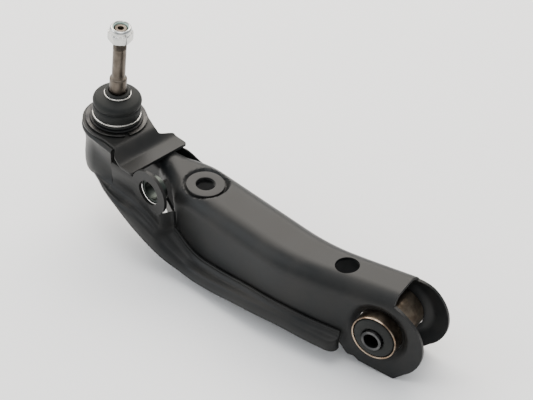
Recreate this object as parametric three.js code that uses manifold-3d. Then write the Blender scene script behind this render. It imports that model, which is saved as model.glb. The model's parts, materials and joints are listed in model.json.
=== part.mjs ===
// Control arm: two steel pressings, a ball joint at one end and a pivot bush at the other.
// Millimetres, +Z up. +X runs from the ball joint towards the bush, and the bush axis lies along Y.
import * as THREE from "three";
import { mergeVertices } from "three/addons/utils/BufferGeometryUtils.js";
import Module from "manifold-3d";

const wasm = await Module();
wasm.setup();

// ---- driving dimensions ----
const GAP = 0.3; // clearance between touching pieces
const SHEET = 2.6; // thickness of both pressings

// The centreline, seen from above: straight at the bush, then an arc, then straight to the head.
const STRAIGHT = 46; // bush axis to the start of the arc
const BEND_RADIUS = 200;
const BEND_ANGLE = THREE.MathUtils.degToRad(17);
const HEAD_REACH = 193.5; // end of the arc to the ball joint
const HEAD_OFFSET = 10; // the head stands this far to the near side of the centreline

// Upper channel
const CHANNEL_TOP = 38; // height of its top face over the bush axis
const EAR_SPREAD = 46; // width over the ears
const CHANNEL_WIDTH = 51; // width over the walls past the ears
const TOP_CORNER = 15; // outer radius between top and walls
const EAR_RADIUS = 34.7;
const EAR_SHIFT = new THREE.Vector2(5.7, -3.4); // ear centre from the bush axis, along X and Z
const TOP_END = 13; // the top face ends this far past the bush axis
const LIGHTENING_HOLE = 10; // radius of the plain hole
const LIGHTENING_HOLE_AT = 40;
const EAR_COLLAR = 5; // length of the collar drawn inwards round each bush hole

// Link seat: a flat washer in a dimple of the top face
const SEAT_AT = 197.5;
const SEAT_OFFSET = 1.5;
const SEAT_RADIUS = 16;
const SEAT_BORE = 8.1;
const SEAT_THICKNESS = 2.4;
const SEAT_DEPTH = 1.3; // the washer's face below the top face
const SEAT_TILT = THREE.MathUtils.degToRad(4);

// Outer pressing: head wall, ear, and the two rails with their stepped flange
const HEAD_RADIUS = 29;
const HEAD_TUCK = 1.5; // the head wall steps in this far under its rim
const HEAD_DRAFT = 0.6; // and narrows by this much more down to its lip
const RIM_WIDTH = 4; // inward rim on top of the head wall
const FLANGE_REACH = 8.8;
const RAIL_LAP = 5.8; // the rail's top edge stands this far over the ridge
const RAIL_END = 33; // the rails stop this far from the bush axis
const ROD_EAR_AT = 72.8; // rod hole from the ball joint, along the arm
const ROD_EAR_DROP = 21.7; // rod hole below the head plate's face
const ROD_EAR_RADIUS = 20;
const ROD_HOLE = 11.3;

// Rod boss behind the ear
const BOSS_RADIUS = 11.4;
const BOSS_BORE = 8.2;
const BOSS_LENGTH = 8.5;

// Head plate: clamped round the ball joint, with a lower tab over the channel
const HEAD_TOP = 52.7; // plate's face at the ball joint, over the bush axis
const HEAD_TILT = THREE.MathUtils.degToRad(5); // the joint and the plate lean towards the bush
const TAB_CLEARANCE = GAP; // tab's underside over the channel
const TAB_LENGTH = 53.6; // ball joint to the tab's free edge
const TAB_HALF_WIDTH = 30.5;
const PLATE_RADIUS = 28.2;
const PLATE_THICKNESS = 2.6;

// Ball joint, measured from the plate's face along the joint's own axis
const BALL_RADIUS = 12.5;
const BALL_DEPTH = 12;
const RACE_WALL = 3.8;
const HOUSING_NECK = 22.6;
const HOUSING_WALL = 3.6;
const HOUSING_SHOULDER = 23.9;
const RING_RADIUS = 25.8;
const RING_THICKNESS = 1.8;
const RING_GAP_AT = THREE.MathUtils.degToRad(-37);
const RING_GAP = THREE.MathUtils.degToRad(9);
const COVER_THICKNESS = 1.8;
const SPRING_HEIGHT = 2.4;
const STUD_NECK = 6.2;
const STUD_COLLAR = 7.3;
const STUD_SHANK = 5.7;
const STUD_STEP = 43.8; // collar's upper end
const STUD_TOP = 95;
const STUD_SOCKET = 2.6;
const NUT_BASE = 83.6;
const NUT_FLATS = 19;
const NUT_HEIGHT = 13;
const NUT_HEX_HEIGHT = 8.4;
const NUT_COLLAR = 9.3;
const INSERT_WALL = 1.4;
const BOOT_RADIUS = 20.5;
const BOOT_WALL = 2.6;
const BOOT_TOP = 30.5;
const BOOT_CLIP_AT = 7.2;
const NECK_CLIP_AT = 27.6;
const NECK_CLIP_RADIUS = 11.2;
const CLIP_WIRE = 0.7;

// Pivot bush
const SLEEVE_RADIUS = 20;
const SLEEVE_WALL = 2.6;
const SLEEVE_OVERHANG = 7; // beyond each ear
const CORE_OVERHANG = 4.2; // inner sleeve beyond the outer one at each end
const CORE_RADIUS = 8.9;
const CORE_BORE = 6.6;
const RUBBER_INSET = 2.2; // rubber's rim inside the sleeve's ends

// ---- small tools ----

// A material by its colour, roughness and metalness.
function paint(color, roughness, metalness) {
  return new THREE.MeshStandardMaterial({ color, roughness, metalness });
}

// A geometry as a manifold-3d solid.
function solid(geometry) {
  const bare = geometry.index ? geometry.toNonIndexed() : geometry.clone();
  bare.deleteAttribute("normal");
  bare.deleteAttribute("uv");
  const merged = mergeVertices(bare, 1e-4);
  return new wasm.Manifold(
    new wasm.Mesh({
      numProp: 3,
      vertProperties: merged.attributes.position.array,
      triVerts: new Uint32Array(merged.index.array),
    }),
  );
}

// A manifold-3d solid as a geometry.
function geometryOf(body) {
  const mesh = body.getMesh();
  const geometry = new THREE.BufferGeometry();
  geometry.setAttribute("position", new THREE.BufferAttribute(mesh.vertProperties, 3));
  geometry.setIndex(new THREE.BufferAttribute(mesh.triVerts, 1));
  return geometry;
}

// A closed profile of [radius, height] points turned about the Z axis. It runs up on its outer side.
function turned(profile, segments) {
  const points = profile.map(([r, z]) => new THREE.Vector2(r, z));
  const onAxis = profile[0][0] === 0;
  if (!onAxis) points.push(points[0].clone());
  return new THREE.LatheGeometry(points, segments).rotateX(Math.PI / 2);
}

// Points on a circle arc in the [radius, height] plane, from one angle to another.
function arcPoints(centreR, centreZ, radius, from, to, steps) {
  return Array.from({ length: steps + 1 }, (_, i) => {
    const angle = THREE.MathUtils.degToRad(from + ((to - from) * i) / steps);
    return [centreR + radius * Math.cos(angle), centreZ + radius * Math.sin(angle)];
  });
}

// Value at t between knots [t, value], eased so that neighbouring stretches meet smoothly.
function eased(knots, t) {
  const last = knots.length - 1;
  if (t <= knots[0][0]) return knots[0][1];
  if (t >= knots[last][0]) return knots[last][1];
  const i = knots.findIndex((knot) => knot[0] > t) - 1;
  const [t0, v0] = knots[i];
  const [t1, v1] = knots[i + 1];
  return v0 + (v1 - v0) * THREE.MathUtils.smoothstep(t, t0, t1);
}

// Value at t of a smooth curve through knots [t, value].
function smooth(knots, t) {
  const times = knots.map((knot) => knot[0]);
  const values = knots.map((knot) => knot[1]);
  return new THREE.CubicInterpolant(times, values, 1).evaluate(t)[0];
}

// A sheet's closed section: its outer face as an open line, and the same line set in by a thickness.
function sheetSection(outer, thickness) {
  const inner = outer.map((point, i) => {
    const before = outer[Math.max(i - 1, 0)];
    const after = outer[Math.min(i + 1, outer.length - 1)];
    const back = new THREE.Vector2().subVectors(point, before).normalize();
    const ahead = new THREE.Vector2().subVectors(after, point).normalize();
    const along = back.add(ahead).normalize();
    const turn = i > 0 && i < outer.length - 1 ? Math.max(along.dot(ahead), 0.75) : 1;
    return new THREE.Vector2(
      point.x - (along.y * thickness) / turn,
      point.y + (along.x * thickness) / turn,
    );
  });
  return [...outer, ...inner.reverse()];
}

// A closed solid lofted through sections with equal numbers of points, each placed by its own frame.
function loft(sections) {
  const count = sections[0].outline.length;
  const clockwise = THREE.ShapeUtils.isClockWise(sections[0].outline);
  if (clockwise) sections.forEach(({ outline }) => outline.reverse());
  const position = sections.flatMap(({ outline, place }) =>
    outline.flatMap((point) => place(point).toArray()),
  );
  const index = [];
  for (let i = 0; i + 1 < sections.length; i++) {
    for (let j = 0; j < count; j++) {
      const a = i * count + j;
      const b = i * count + ((j + 1) % count);
      index.push(a, b, a + count, b, b + count, a + count);
    }
  }
  const end = (sections.length - 1) * count;
  for (const [a, b, c] of THREE.ShapeUtils.triangulateShape(sections[0].outline, [])) {
    index.push(a, c, b);
  }
  for (const [a, b, c] of THREE.ShapeUtils.triangulateShape(sections.at(-1).outline, [])) {
    index.push(end + a, end + b, end + c);
  }
  const geometry = new THREE.BufferGeometry();
  geometry.setAttribute("position", new THREE.Float32BufferAttribute(position, 3));
  geometry.setIndex(index);
  return facingOut(geometry);
}

// The same closed surface with its faces pointing out, told by the sign of its volume.
function facingOut(geometry) {
  const p = geometry.attributes.position;
  const index = geometry.index.array;
  const corner = (i) => new THREE.Vector3().fromBufferAttribute(p, index[i]);
  let volume = 0;
  for (let i = 0; i < index.length; i += 3) {
    volume += corner(i).dot(corner(i + 1).cross(corner(i + 2)));
  }
  if (volume < 0) {
    for (let i = 0; i < index.length; i += 3) {
      [index[i + 1], index[i + 2]] = [index[i + 2], index[i + 1]];
    }
  }
  return geometry;
}

// Evenly spread values from one end to the other, both included.
function spread(from, to, steps) {
  return Array.from({ length: steps + 1 }, (_, i) => from + ((to - from) * i) / steps);
}

// ---- the centreline ----

const BEND_END = STRAIGHT + BEND_RADIUS * BEND_ANGLE;
const HEAD_AT = BEND_END + HEAD_REACH; // distance from the bush axis to the ball joint, along the arm

// Point on the centreline at a distance from the bush axis, and the direction towards the near side.
function centreline(distance) {
  const angle = THREE.MathUtils.clamp((distance - STRAIGHT) / BEND_RADIUS, 0, BEND_ANGLE);
  const before = Math.min(distance, STRAIGHT);
  const after = Math.max(distance - BEND_END, 0);
  const x = -before - BEND_RADIUS * Math.sin(angle) - after * Math.cos(angle);
  const y = BEND_RADIUS * (1 - Math.cos(angle)) + after * Math.sin(angle);
  return {
    point: new THREE.Vector3(x, y, 0),
    side: new THREE.Vector3(-Math.sin(angle), -Math.cos(angle), 0),
    angle,
  };
}

// A place given by distance along the arm, offset to the near side, and height.
function onArm(distance, offset, height) {
  const { point, side } = centreline(distance);
  return point.clone().addScaledVector(side, offset).setZ(height);
}

// A matrix whose Z axis points to the near side, and whose Y axis points up, at a place on the arm.
function sideways(distance, offset, height) {
  const { side } = centreline(distance);
  const up = new THREE.Vector3(0, 0, 1);
  const along = new THREE.Vector3().crossVectors(up, side);
  return new THREE.Matrix4().makeBasis(along, up, side).setPosition(onArm(distance, offset, height));
}

const HEAD = onArm(HEAD_AT, HEAD_OFFSET, HEAD_TOP);
const headMatrix = new THREE.Matrix4().makeRotationY(HEAD_TILT).setPosition(HEAD);

// Height of the head plate's inclined face at a place in plan.
function headFace(point) {
  return HEAD_TOP - Math.tan(HEAD_TILT) * (point.x - HEAD.x);
}

// ---- upper channel ----

const TAB_EDGE_AT = HEAD_AT - TAB_LENGTH;
const CHANNEL_END = HEAD_AT - 26;
const POCKET_CORNER = HEAD_AT - 89; // the near wall turns inwards from here
const POCKET_SLOPE = 0.44;
const POCKET_DEPTH = 16;
const WAIST_AT = HEAD_AT - 29; // the arm is narrowest on its far side here

// Height of the flange's lip along the arm.
const LIP = [
  [20, -27],
  [50, -24.5],
  [80, -22.5],
  [120, -24.8],
  [156, -29],
  [182, -29],
  [203, -22],
  [226, -10],
  [243, -1.5],
  [256, 5.5],
  [268, 8.6],
  [285, 9.2],
  [300, 9.2],
];

// Height of the flange's ridge over its lip.
const DROP = [
  [186, 10],
  [226, 15],
  [243, 11],
  [254, 5.5],
  [266, 3],
  [285, 2.5],
];

// Offset of the near flange's lip along the arm.
const LIP_OFFSET = [
  [20, 37],
  [60, 35],
  [84, 35],
  [106, 37.2],
  [134, 38.6],
  [165, 39.8],
  [186, 41],
  [206, 46],
  [226, 49.3],
  [244, 50],
  [256, 50],
  [266, 48.6],
  [277, 45.5],
  [290, 40],
  [HEAD_AT, HEAD_OFFSET + HEAD_RADIUS - HEAD_TUCK - HEAD_DRAFT],
];

// Offset of the far wall's outer face past the ears.
const FAR_WALL = [
  [HEAD_AT - 190, CHANNEL_WIDTH / 2],
  [HEAD_AT - 110, CHANNEL_WIDTH / 2],
  [HEAD_AT - 87, CHANNEL_WIDTH / 2 - 0.6],
  [HEAD_AT - 58, 16.5],
  [WAIST_AT, 6.6],
  [CHANNEL_END + 30, 6.6],
];

const halfWidth = [
  [25, EAR_SPREAD / 2],
  [110, CHANNEL_WIDTH / 2],
];

function nearWall(distance) {
  const turnedIn = (distance - POCKET_CORNER) * POCKET_SLOPE;
  return eased(halfWidth, distance) - THREE.MathUtils.clamp(turnedIn, 0, POCKET_DEPTH);
}

function farWall(distance) {
  return distance < FAR_WALL[0][0] ? eased(halfWidth, distance) : smooth(FAR_WALL, distance);
}

// Height of the channel walls' lower edge: at the ears it is cut to their outline.
function wallFoot(distance) {
  const lapped = Math.min(smooth(LIP, distance) + 6, 0);
  return eased([[-50, -50], [20, -38], [RAIL_END + 8, lapped]], distance);
}

// The channel's outer face at a distance, from the foot of the near wall over the top to the far foot.
function channelSection(distance) {
  const near = nearWall(distance);
  const far = farWall(distance);
  const foot = wallFoot(distance);
  const corner = Math.min(TOP_CORNER, (near + far) / 2 - 0.5);
  const springing = CHANNEL_TOP - corner;
  const nearArc = arcPoints(near - corner, springing, corner, 0, 90, 5);
  const farArc = arcPoints(corner - far, springing, corner, 90, 180, 5);
  const line = [[near, foot], ...nearArc, ...farArc, [-far, foot]];
  return sheetSection(line.map(([o, z]) => new THREE.Vector2(o, z)), SHEET);
}

function channelBlank() {
  const distances = [
    ...spread(-EAR_SHIFT.x - EAR_RADIUS - 3, STRAIGHT, 3),
    ...spread(STRAIGHT + 12, BEND_END, 4),
    ...spread(BEND_END + 25, POCKET_CORNER - 6, 3),
    ...spread(POCKET_CORNER - 0.8, POCKET_CORNER + 0.8, 1),
    ...spread(POCKET_CORNER + 9, CHANNEL_END, 6),
  ];
  return solid(
    loft(
      distances.map((distance) => ({
        outline: channelSection(distance),
        place: (point) => onArm(distance, point.x, point.y),
      })),
    ),
  );
}

// Everything past the ears' side outline, to be cut away across the full width.
function beyondEars() {
  const circleTop = EAR_SHIFT.y + Math.sqrt(EAR_RADIUS ** 2 - (TOP_END - EAR_SHIFT.x) ** 2);
  const reach = 80;
  const outline = new THREE.Shape();
  const start = Math.atan2(circleTop - EAR_SHIFT.y, TOP_END - EAR_SHIFT.x);
  const stop = THREE.MathUtils.degToRad(-58);
  outline.moveTo(TOP_END, reach);
  outline.lineTo(TOP_END, circleTop);
  outline.absarc(EAR_SHIFT.x, EAR_SHIFT.y, EAR_RADIUS, start, stop, true);
  outline.lineTo(EAR_SHIFT.x + 8.5, EAR_SHIFT.y - EAR_RADIUS - 3);
  outline.lineTo(-17, EAR_SHIFT.y - EAR_RADIUS + 2.5);
  outline.lineTo(-21.5, EAR_SHIFT.y - EAR_RADIUS + 6);
  outline.lineTo(-RAIL_END, EAR_SHIFT.y - EAR_RADIUS + 5.5);
  outline.lineTo(-RAIL_END, -reach);
  outline.lineTo(reach, -reach);
  outline.lineTo(reach, reach);
  const block = new THREE.ExtrudeGeometry(outline, {
    depth: 2 * reach,
    bevelEnabled: false,
    curveSegments: 28,
  });
  return solid(block.rotateX(Math.PI / 2).translate(0, reach, 0));
}

// A round bar between two heights of its own axis.
function bar(radius, from, to, segments) {
  return turned([[0, from], [radius, from], [radius, to], [0, to]], segments);
}

// The collar drawn inwards round a bush hole; the sign says which ear.
function earCollar(sign) {
  const inner = SLEEVE_RADIUS + GAP;
  const face = EAR_SPREAD / 2 - SHEET / 2;
  const ring = turned(
    [
      [inner, 0],
      [inner + SHEET, 0],
      [inner + SHEET, EAR_COLLAR + SHEET / 2],
      [inner, EAR_COLLAR + SHEET / 2],
    ],
    44,
  );
  ring.rotateX((sign * Math.PI) / 2).translate(0, sign * face, 0);
  return solid(ring);
}

const seatMatrix = new THREE.Matrix4()
  .makeRotationY(SEAT_TILT)
  .setPosition(onArm(SEAT_AT, SEAT_OFFSET, CHANNEL_TOP - SEAT_DEPTH));

// The dimple under the link seat: a coned wall and a flat floor with a hole, in the seat's own frame.
function seatDish() {
  const floor = -SEAT_THICKNESS - GAP;
  const brim = SEAT_RADIUS + 4;
  return solid(
    turned(
      [
        [SEAT_BORE, floor - SHEET],
        [SEAT_RADIUS + 1.5, floor - SHEET],
        [brim, SEAT_DEPTH - 1.6 - SHEET],
        [brim, SEAT_DEPTH - 1.5],
        [brim - 1, SEAT_DEPTH - 1.5],
        [SEAT_RADIUS + GAP, floor],
        [SEAT_BORE, floor],
      ],
      36,
    ).applyMatrix4(seatMatrix),
  );
}

// The arched window in the inturned part of the near wall, behind the rod boss.
function pocketWindow() {
  const width = 29;
  const outline = new THREE.Shape();
  const foot = 10;
  const crown = CHANNEL_TOP - 7;
  outline.moveTo(-width / 2, foot);
  outline.lineTo(width / 2, foot);
  outline.absarc(0, crown - width / 2, width / 2, 0, Math.PI, false);
  const block = new THREE.ExtrudeGeometry(outline, { depth: 40, bevelEnabled: false, curveSegments: 7 });
  return solid(block.applyMatrix4(sideways(POCKET_CORNER + width / 2 + 0.5, 2, 0)));
}

function armChannel() {
  const bushHole = bar(SLEEVE_RADIUS + GAP, -EAR_SPREAD, EAR_SPREAD, 44).rotateX(Math.PI / 2);
  const lighteningHole = bar(LIGHTENING_HOLE, 0, 60, 28).translate(-LIGHTENING_HOLE_AT, -1, 0);
  const seatHole = bar(SEAT_RADIUS + 3.2, -20, 20, 36).applyMatrix4(seatMatrix);
  return geometryOf(
    channelBlank()
      .subtract(beyondEars())
      .subtract(solid(bushHole))
      .subtract(solid(lighteningHole))
      .subtract(solid(seatHole))
      .subtract(pocketWindow())
      .add(earCollar(1))
      .add(earCollar(-1))
      .add(seatDish()),
  );
}

function linkSeat() {
  const thickness = SEAT_THICKNESS;
  return turned(
    [[SEAT_BORE, -thickness], [SEAT_RADIUS - 0.6, -thickness], [SEAT_RADIUS, -thickness + 0.6],
      [SEAT_RADIUS, -0.4], [SEAT_RADIUS - 0.4, 0], [SEAT_BORE, 0]],
    36,
  );
}

// ---- outer pressing ----

// Distance along the arm where the head wall hands over to the rails.
const HEAD_WALL_END = HEAD_AT - ROD_EAR_AT - 12;
const RAIL_START = HEAD_WALL_END - 6.5;
const LAP = GAP + SHEET; // the rail's outer face from the channel wall's
const NOTCH_AT = HEAD_AT - 26; // the rim ends here and the wall dips under the tab
const ROD_EAR_TOP = HEAD_TOP - ROD_EAR_DROP;
const TAB_FACE = CHANNEL_TOP + TAB_CLEARANCE + PLATE_THICKNESS;
const UNDER_TAB = TAB_FACE - PLATE_THICKNESS - GAP - 1;

// Offset of the outer pressing's wall on the near side.
function nearRail(distance) {
  const rail = eased(halfWidth, distance) + LAP;
  const share = THREE.MathUtils.smoothstep(distance, RAIL_START, HEAD_WALL_END);
  return rail + (HEAD_OFFSET + HEAD_RADIUS - rail) * share;
}

// Offset of its wall on the far side: beside the channel, then out again round the ball joint.
function farRail(distance) {
  const round = [
    [WAIST_AT, farWall(WAIST_AT) + LAP],
    [HEAD_AT - 14, 14.6],
    [HEAD_AT, HEAD_RADIUS - HEAD_OFFSET],
  ];
  return distance < WAIST_AT ? farWall(distance) + LAP : smooth(round, distance);
}

// Height of the flange's ridge.
function ridgeHeight(distance) {
  return smooth(LIP, distance) + eased(DROP, distance);
}

// Top edge of the near wall: rail, ear, dip under the tab, then the full height round the ball joint.
function nearTop(distance) {
  if (distance < RAIL_START) return ridgeHeight(distance) + RAIL_LAP;
  return eased([[HEAD_AT - 76, 16], [HEAD_AT - 62, UNDER_TAB]], distance);
}

function farTop(distance) {
  const strip = ridgeHeight(distance) + RAIL_LAP;
  return eased([[TAB_EDGE_AT - 42, strip], [TAB_EDGE_AT - 20, 27], [TAB_EDGE_AT, UNDER_TAB]], distance);
}

// The pressing's outer face at one station, from the rim down to the lip. Offsets are from the wall.
function pressingSection({ top, lip, ridge, reach, rim }) {
  const between = (plain, turnedIn) => THREE.MathUtils.lerp(plain, turnedIn, rim);
  const brow = [
    [between(-1.6, -RIM_WIDTH), top],
    [between(-0.9, -2.2), top],
    [between(-0.2, -0.7), top - between(0.2, 0.9)],
    [0, top - between(0.9, 2.6)],
  ];
  const tuck = -HEAD_TUCK * rim;
  const at = (share) => THREE.MathUtils.lerp(tuck, reach, share);
  const down = (share) => THREE.MathUtils.lerp(ridge, lip, share);
  const wall = [
    [tuck, between(ridge + 3.9, top - 6.8)],
    [at(0.06), ridge + 2.6],
    [at(0.25), ridge + 0.9],
    [at(0.55), ridge],
    [at(0.8), down(0.09)],
    [at(0.95), down(0.34)],
    [reach, lip],
  ];
  const underside = [
    [-SHEET, top - between(1.4, 4.2)],
    [between(-SHEET, -SHEET - 0.3), top - between(1, 3.2)],
    [between(-SHEET, -SHEET - 0.8), top - between(0.6, 2.7)],
    [between(-SHEET + 0.3, -RIM_WIDTH), top - between(0.1, SHEET)],
  ];
  const points = (list) => list.map(([o, z]) => new THREE.Vector2(o, z));
  return [...points(brow), ...sheetSection(points(wall), -SHEET), ...points(underside)];
}

// Stations of the pressing from the near rail's end, round the ball joint, to the far rail's end.
function pressingStations() {
  const nearSide = [
    ...spread(RAIL_END, STRAIGHT + 4, 1),
    ...spread(STRAIGHT + 20, BEND_END, 3),
    ...spread(BEND_END + 27, RAIL_START - 12, 3),
    RAIL_START - 5,
    RAIL_START,
    ...spread(RAIL_START + 0.8, HEAD_WALL_END, 3),
    ...spread(HEAD_AT - ROD_EAR_AT - 4, NOTCH_AT - 1, 6),
  ];
  const rimmed = [NOTCH_AT, ...spread(NOTCH_AT + 9, HEAD_AT, 2)];
  const round = spread(0, 180, 14).slice(1, -1);
  const tucked = -HEAD_TUCK - HEAD_DRAFT;
  const farReach = (d) => eased([[HEAD_AT - 38, FLANGE_REACH], [HEAD_AT - 4, tucked]], d);
  const nearReach = (d) => smooth(LIP_OFFSET, d) - nearRail(d);
  const flat = { rim: 0 };
  const full = { rim: 1 };
  const atSide = (d, offset, top, shape) => ({
    ...shape,
    top,
    lip: smooth(LIP, d),
    ridge: ridgeHeight(d),
    reach: offset > 0 ? nearReach(d) : farReach(d),
    at: onArm(d, offset, 0),
    out: centreline(d).side.clone().multiplyScalar(Math.sign(offset)),
  });
  const rimTop = (at, out) => {
    const inner = at.clone().addScaledVector(out, -RIM_WIDTH);
    return Math.min(headFace(at), headFace(inner)) - PLATE_THICKNESS - GAP;
  };
  const atRim = (d, offset) => {
    const station = atSide(d, offset, 0, full);
    return { ...station, top: rimTop(station.at, station.out) };
  };
  const headSide = centreline(HEAD_AT).side;
  const onHead = (degrees) => {
    const angle = THREE.MathUtils.degToRad(degrees);
    const out = headSide.clone().applyAxisAngle(new THREE.Vector3(0, 0, 1), -angle);
    const at = HEAD.clone().addScaledVector(out, HEAD_RADIUS);
    const lip = smooth(LIP, HEAD_AT);
    return { ...full, top: rimTop(at, out), lip, ridge: ridgeHeight(HEAD_AT), reach: tucked, at, out };
  };
  return [
    ...nearSide.map((d) => atSide(d, nearRail(d), nearTop(d), flat)),
    ...rimmed.map((d) => atRim(d, nearRail(d))),
    ...round.map(onHead),
    ...rimmed.toReversed().map((d) => atRim(d, -farRail(d))),
    ...nearSide.toReversed().map((d) => atSide(d, -farRail(d), farTop(d), flat)),
  ];
}

function outerPressing() {
  const shell = solid(
    loft(
      pressingStations().map((station) => ({
        outline: pressingSection(station),
        place: (point) => station.at.clone().addScaledVector(station.out, point.x).setZ(point.y),
      })),
    ),
  );
  const hole = bar(ROD_HOLE, -20, 20, 28);
  const earMatrix = sideways(HEAD_AT - ROD_EAR_AT, HEAD_OFFSET + HEAD_RADIUS, ROD_EAR_TOP);
  hole.applyMatrix4(earMatrix);
  const ear = bar(ROD_EAR_RADIUS, -SHEET - 0.1, 0.1, 36).applyMatrix4(earMatrix);
  return geometryOf(shell.add(solid(ear)).subtract(solid(hole)));
}

function rodBoss() {
  return turned(
    [[BOSS_BORE, -BOSS_LENGTH], [BOSS_RADIUS - 0.6, -BOSS_LENGTH], [BOSS_RADIUS, 0.6 - BOSS_LENGTH],
      [BOSS_RADIUS, -0.6], [BOSS_RADIUS - 0.6, 0], [BOSS_BORE, 0]],
    28,
  ).applyMatrix4(
    sideways(HEAD_AT - ROD_EAR_AT, HEAD_OFFSET + HEAD_RADIUS - SHEET - GAP, ROD_EAR_TOP),
  );
}

// ---- head plate ----

// A strip across the plate at a distance from the ball joint towards the bush.
function plateStrip(reach) {
  const roundEnd = Math.sqrt(Math.max(PLATE_RADIUS ** 2 - reach ** 2, 0.01));
  const nearSide = [[0, PLATE_RADIUS], [14, 26.4], [28, 25.6], [32.5, TAB_HALF_WIDTH]];
  const farSide = [[0, PLATE_RADIUS], [14, 23.6], [28, 18], [32.5, 18], [37, TAB_HALF_WIDTH]];
  const near = reach < 0 ? roundEnd : eased(nearSide, reach);
  const far = reach < 0 ? roundEnd : eased(farSide, reach);
  const bend = THREE.MathUtils.smoothstep(reach, 26.5, 41);
  const outline = [[-far, -PLATE_THICKNESS], [near, -PLATE_THICKNESS], [near, 0], [-far, 0]];
  return {
    outline: outline.map(([o, z]) => new THREE.Vector2(o, z)),
    place: (point) => {
      const at = onArm(HEAD_AT - reach, HEAD_OFFSET + point.x, 0);
      return at.setZ(THREE.MathUtils.lerp(headFace(at), TAB_FACE, bend) + point.y);
    },
  };
}

function headPlate() {
  const roundPart = spread(-90, -10, 8).map((a) => PLATE_RADIUS * Math.sin(THREE.MathUtils.degToRad(a)));
  const reaches = [...roundPart, 0, 7, 14, 21, 26.5, 29, 32.5, 34.7, 37, 41, TAB_LENGTH];
  const blank = solid(loft(reaches.map(plateStrip)));
  const hole = bar(HOUSING_NECK + GAP, -20, 20, 40).applyMatrix4(headMatrix);
  return geometryOf(blank.subtract(solid(hole)));
}

// ---- ball joint, each piece in the joint's own frame ----

const RACE_RADIUS = BALL_RADIUS + GAP + RACE_WALL;
const CAVITY = RACE_RADIUS + GAP;
const RACE_FLOOR = -BALL_DEPTH - BALL_RADIUS - GAP - 2; // underside of the lower race
const SPRING_FLOOR = RACE_FLOOR - GAP - SPRING_HEIGHT;
const COVER_TOP = SPRING_FLOOR - GAP;
const COVER_FLOOR = COVER_TOP - COVER_THICKNESS;
const COVER_RADIUS = CAVITY + 0.6;
const HOUSING_FLOOR = COVER_FLOOR - GAP - 1.4;
const HOUSING_BODY = CAVITY + HOUSING_WALL;
const RACE_TOP = -5.3;
const RING_FLOOR = GAP;
const GROOVE_RADIUS = HOUSING_NECK - 1;
const COLLAR_RADIUS = 17.8;
const COLLAR_TOP = 8.2;

function ballHousing() {
  return turned(
    [
      [CAVITY - 1.6, HOUSING_FLOOR],
      [HOUSING_BODY - 1.2, HOUSING_FLOOR],
      [HOUSING_BODY, HOUSING_FLOOR + 1.4],
      [HOUSING_BODY, -8],
      [HOUSING_SHOULDER, -7],
      [HOUSING_SHOULDER, -PLATE_THICKNESS - GAP],
      [HOUSING_NECK, -PLATE_THICKNESS - GAP],
      [HOUSING_NECK, RING_FLOOR - 0.2],
      [GROOVE_RADIUS, RING_FLOOR - 0.2],
      [GROOVE_RADIUS, RING_FLOOR + RING_THICKNESS + 0.2],
      [HOUSING_NECK - 0.2, RING_FLOOR + RING_THICKNESS + 0.2],
      [HOUSING_NECK - 0.4, 3.4],
      [COLLAR_RADIUS - 0.8, 3.4],
      [COLLAR_RADIUS - 0.8, COLLAR_TOP - 1.2],
      [COLLAR_RADIUS, COLLAR_TOP - 1],
      [COLLAR_RADIUS - 0.4, COLLAR_TOP],
      [15.3, COLLAR_TOP],
      [11.2, RACE_TOP + GAP + 2],
      [11.2, RACE_TOP + GAP],
      [CAVITY, RACE_TOP + GAP],
      [CAVITY, COVER_TOP + GAP],
      [COVER_RADIUS + GAP, COVER_TOP + GAP],
      [COVER_RADIUS + GAP, COVER_FLOOR - GAP],
      [CAVITY - 1.6, COVER_FLOOR - GAP],
    ],
    32,
  );
}

function housingRing() {
  const outline = new THREE.Shape();
  const from = RING_GAP_AT + RING_GAP / 2;
  const to = RING_GAP_AT - RING_GAP / 2 + 2 * Math.PI;
  outline.absarc(0, 0, RING_RADIUS, from, to, false);
  outline.absarc(0, 0, GROOVE_RADIUS + GAP, to, from, true);
  const geometry = new THREE.ExtrudeGeometry(outline, {
    depth: RING_THICKNESS,
    bevelEnabled: false,
    curveSegments: 20,
  });
  return geometry.translate(0, 0, RING_FLOOR);
}

function upperRace() {
  const bore = BALL_RADIUS + GAP;
  const split = -BALL_DEPTH + GAP / 2;
  const rise = THREE.MathUtils.radToDeg(Math.asin((RACE_TOP + BALL_DEPTH) / bore));
  const fall = THREE.MathUtils.radToDeg(Math.asin(GAP / 2 / bore));
  return turned(
    [[RACE_RADIUS, split], [RACE_RADIUS, RACE_TOP], ...arcPoints(0, -BALL_DEPTH, bore, rise, fall, 4)],
    32,
  );
}

function lowerRace() {
  const bore = BALL_RADIUS + GAP;
  const split = -BALL_DEPTH - GAP / 2;
  const drain = THREE.MathUtils.radToDeg(Math.acos(4 / bore));
  const fall = THREE.MathUtils.radToDeg(Math.asin(GAP / 2 / bore));
  return turned(
    [[4, RACE_FLOOR], [RACE_RADIUS - 1, RACE_FLOOR], [RACE_RADIUS, RACE_FLOOR + 1], [RACE_RADIUS, split],
      ...arcPoints(0, -BALL_DEPTH, bore, -fall, -drain, 7)],
    32,
  );
}

// A coned disc spring between the lower race and the cover.
function preloadSpring() {
  const rise = SPRING_HEIGHT - 1;
  return turned(
    [[6, SPRING_FLOOR + rise], [CAVITY - GAP - 1, SPRING_FLOOR], [CAVITY - GAP - 0.6, SPRING_FLOOR + 1],
      [6.4, SPRING_FLOOR + rise + 1]],
    28,
  );
}

function housingCover() {
  return turned(
    [[0, COVER_FLOOR - 0.8], [7, COVER_FLOOR - 0.8], [9, COVER_FLOOR], [COVER_RADIUS, COVER_FLOOR],
      [COVER_RADIUS, COVER_TOP], [0, COVER_TOP]],
    32,
  );
}

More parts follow.
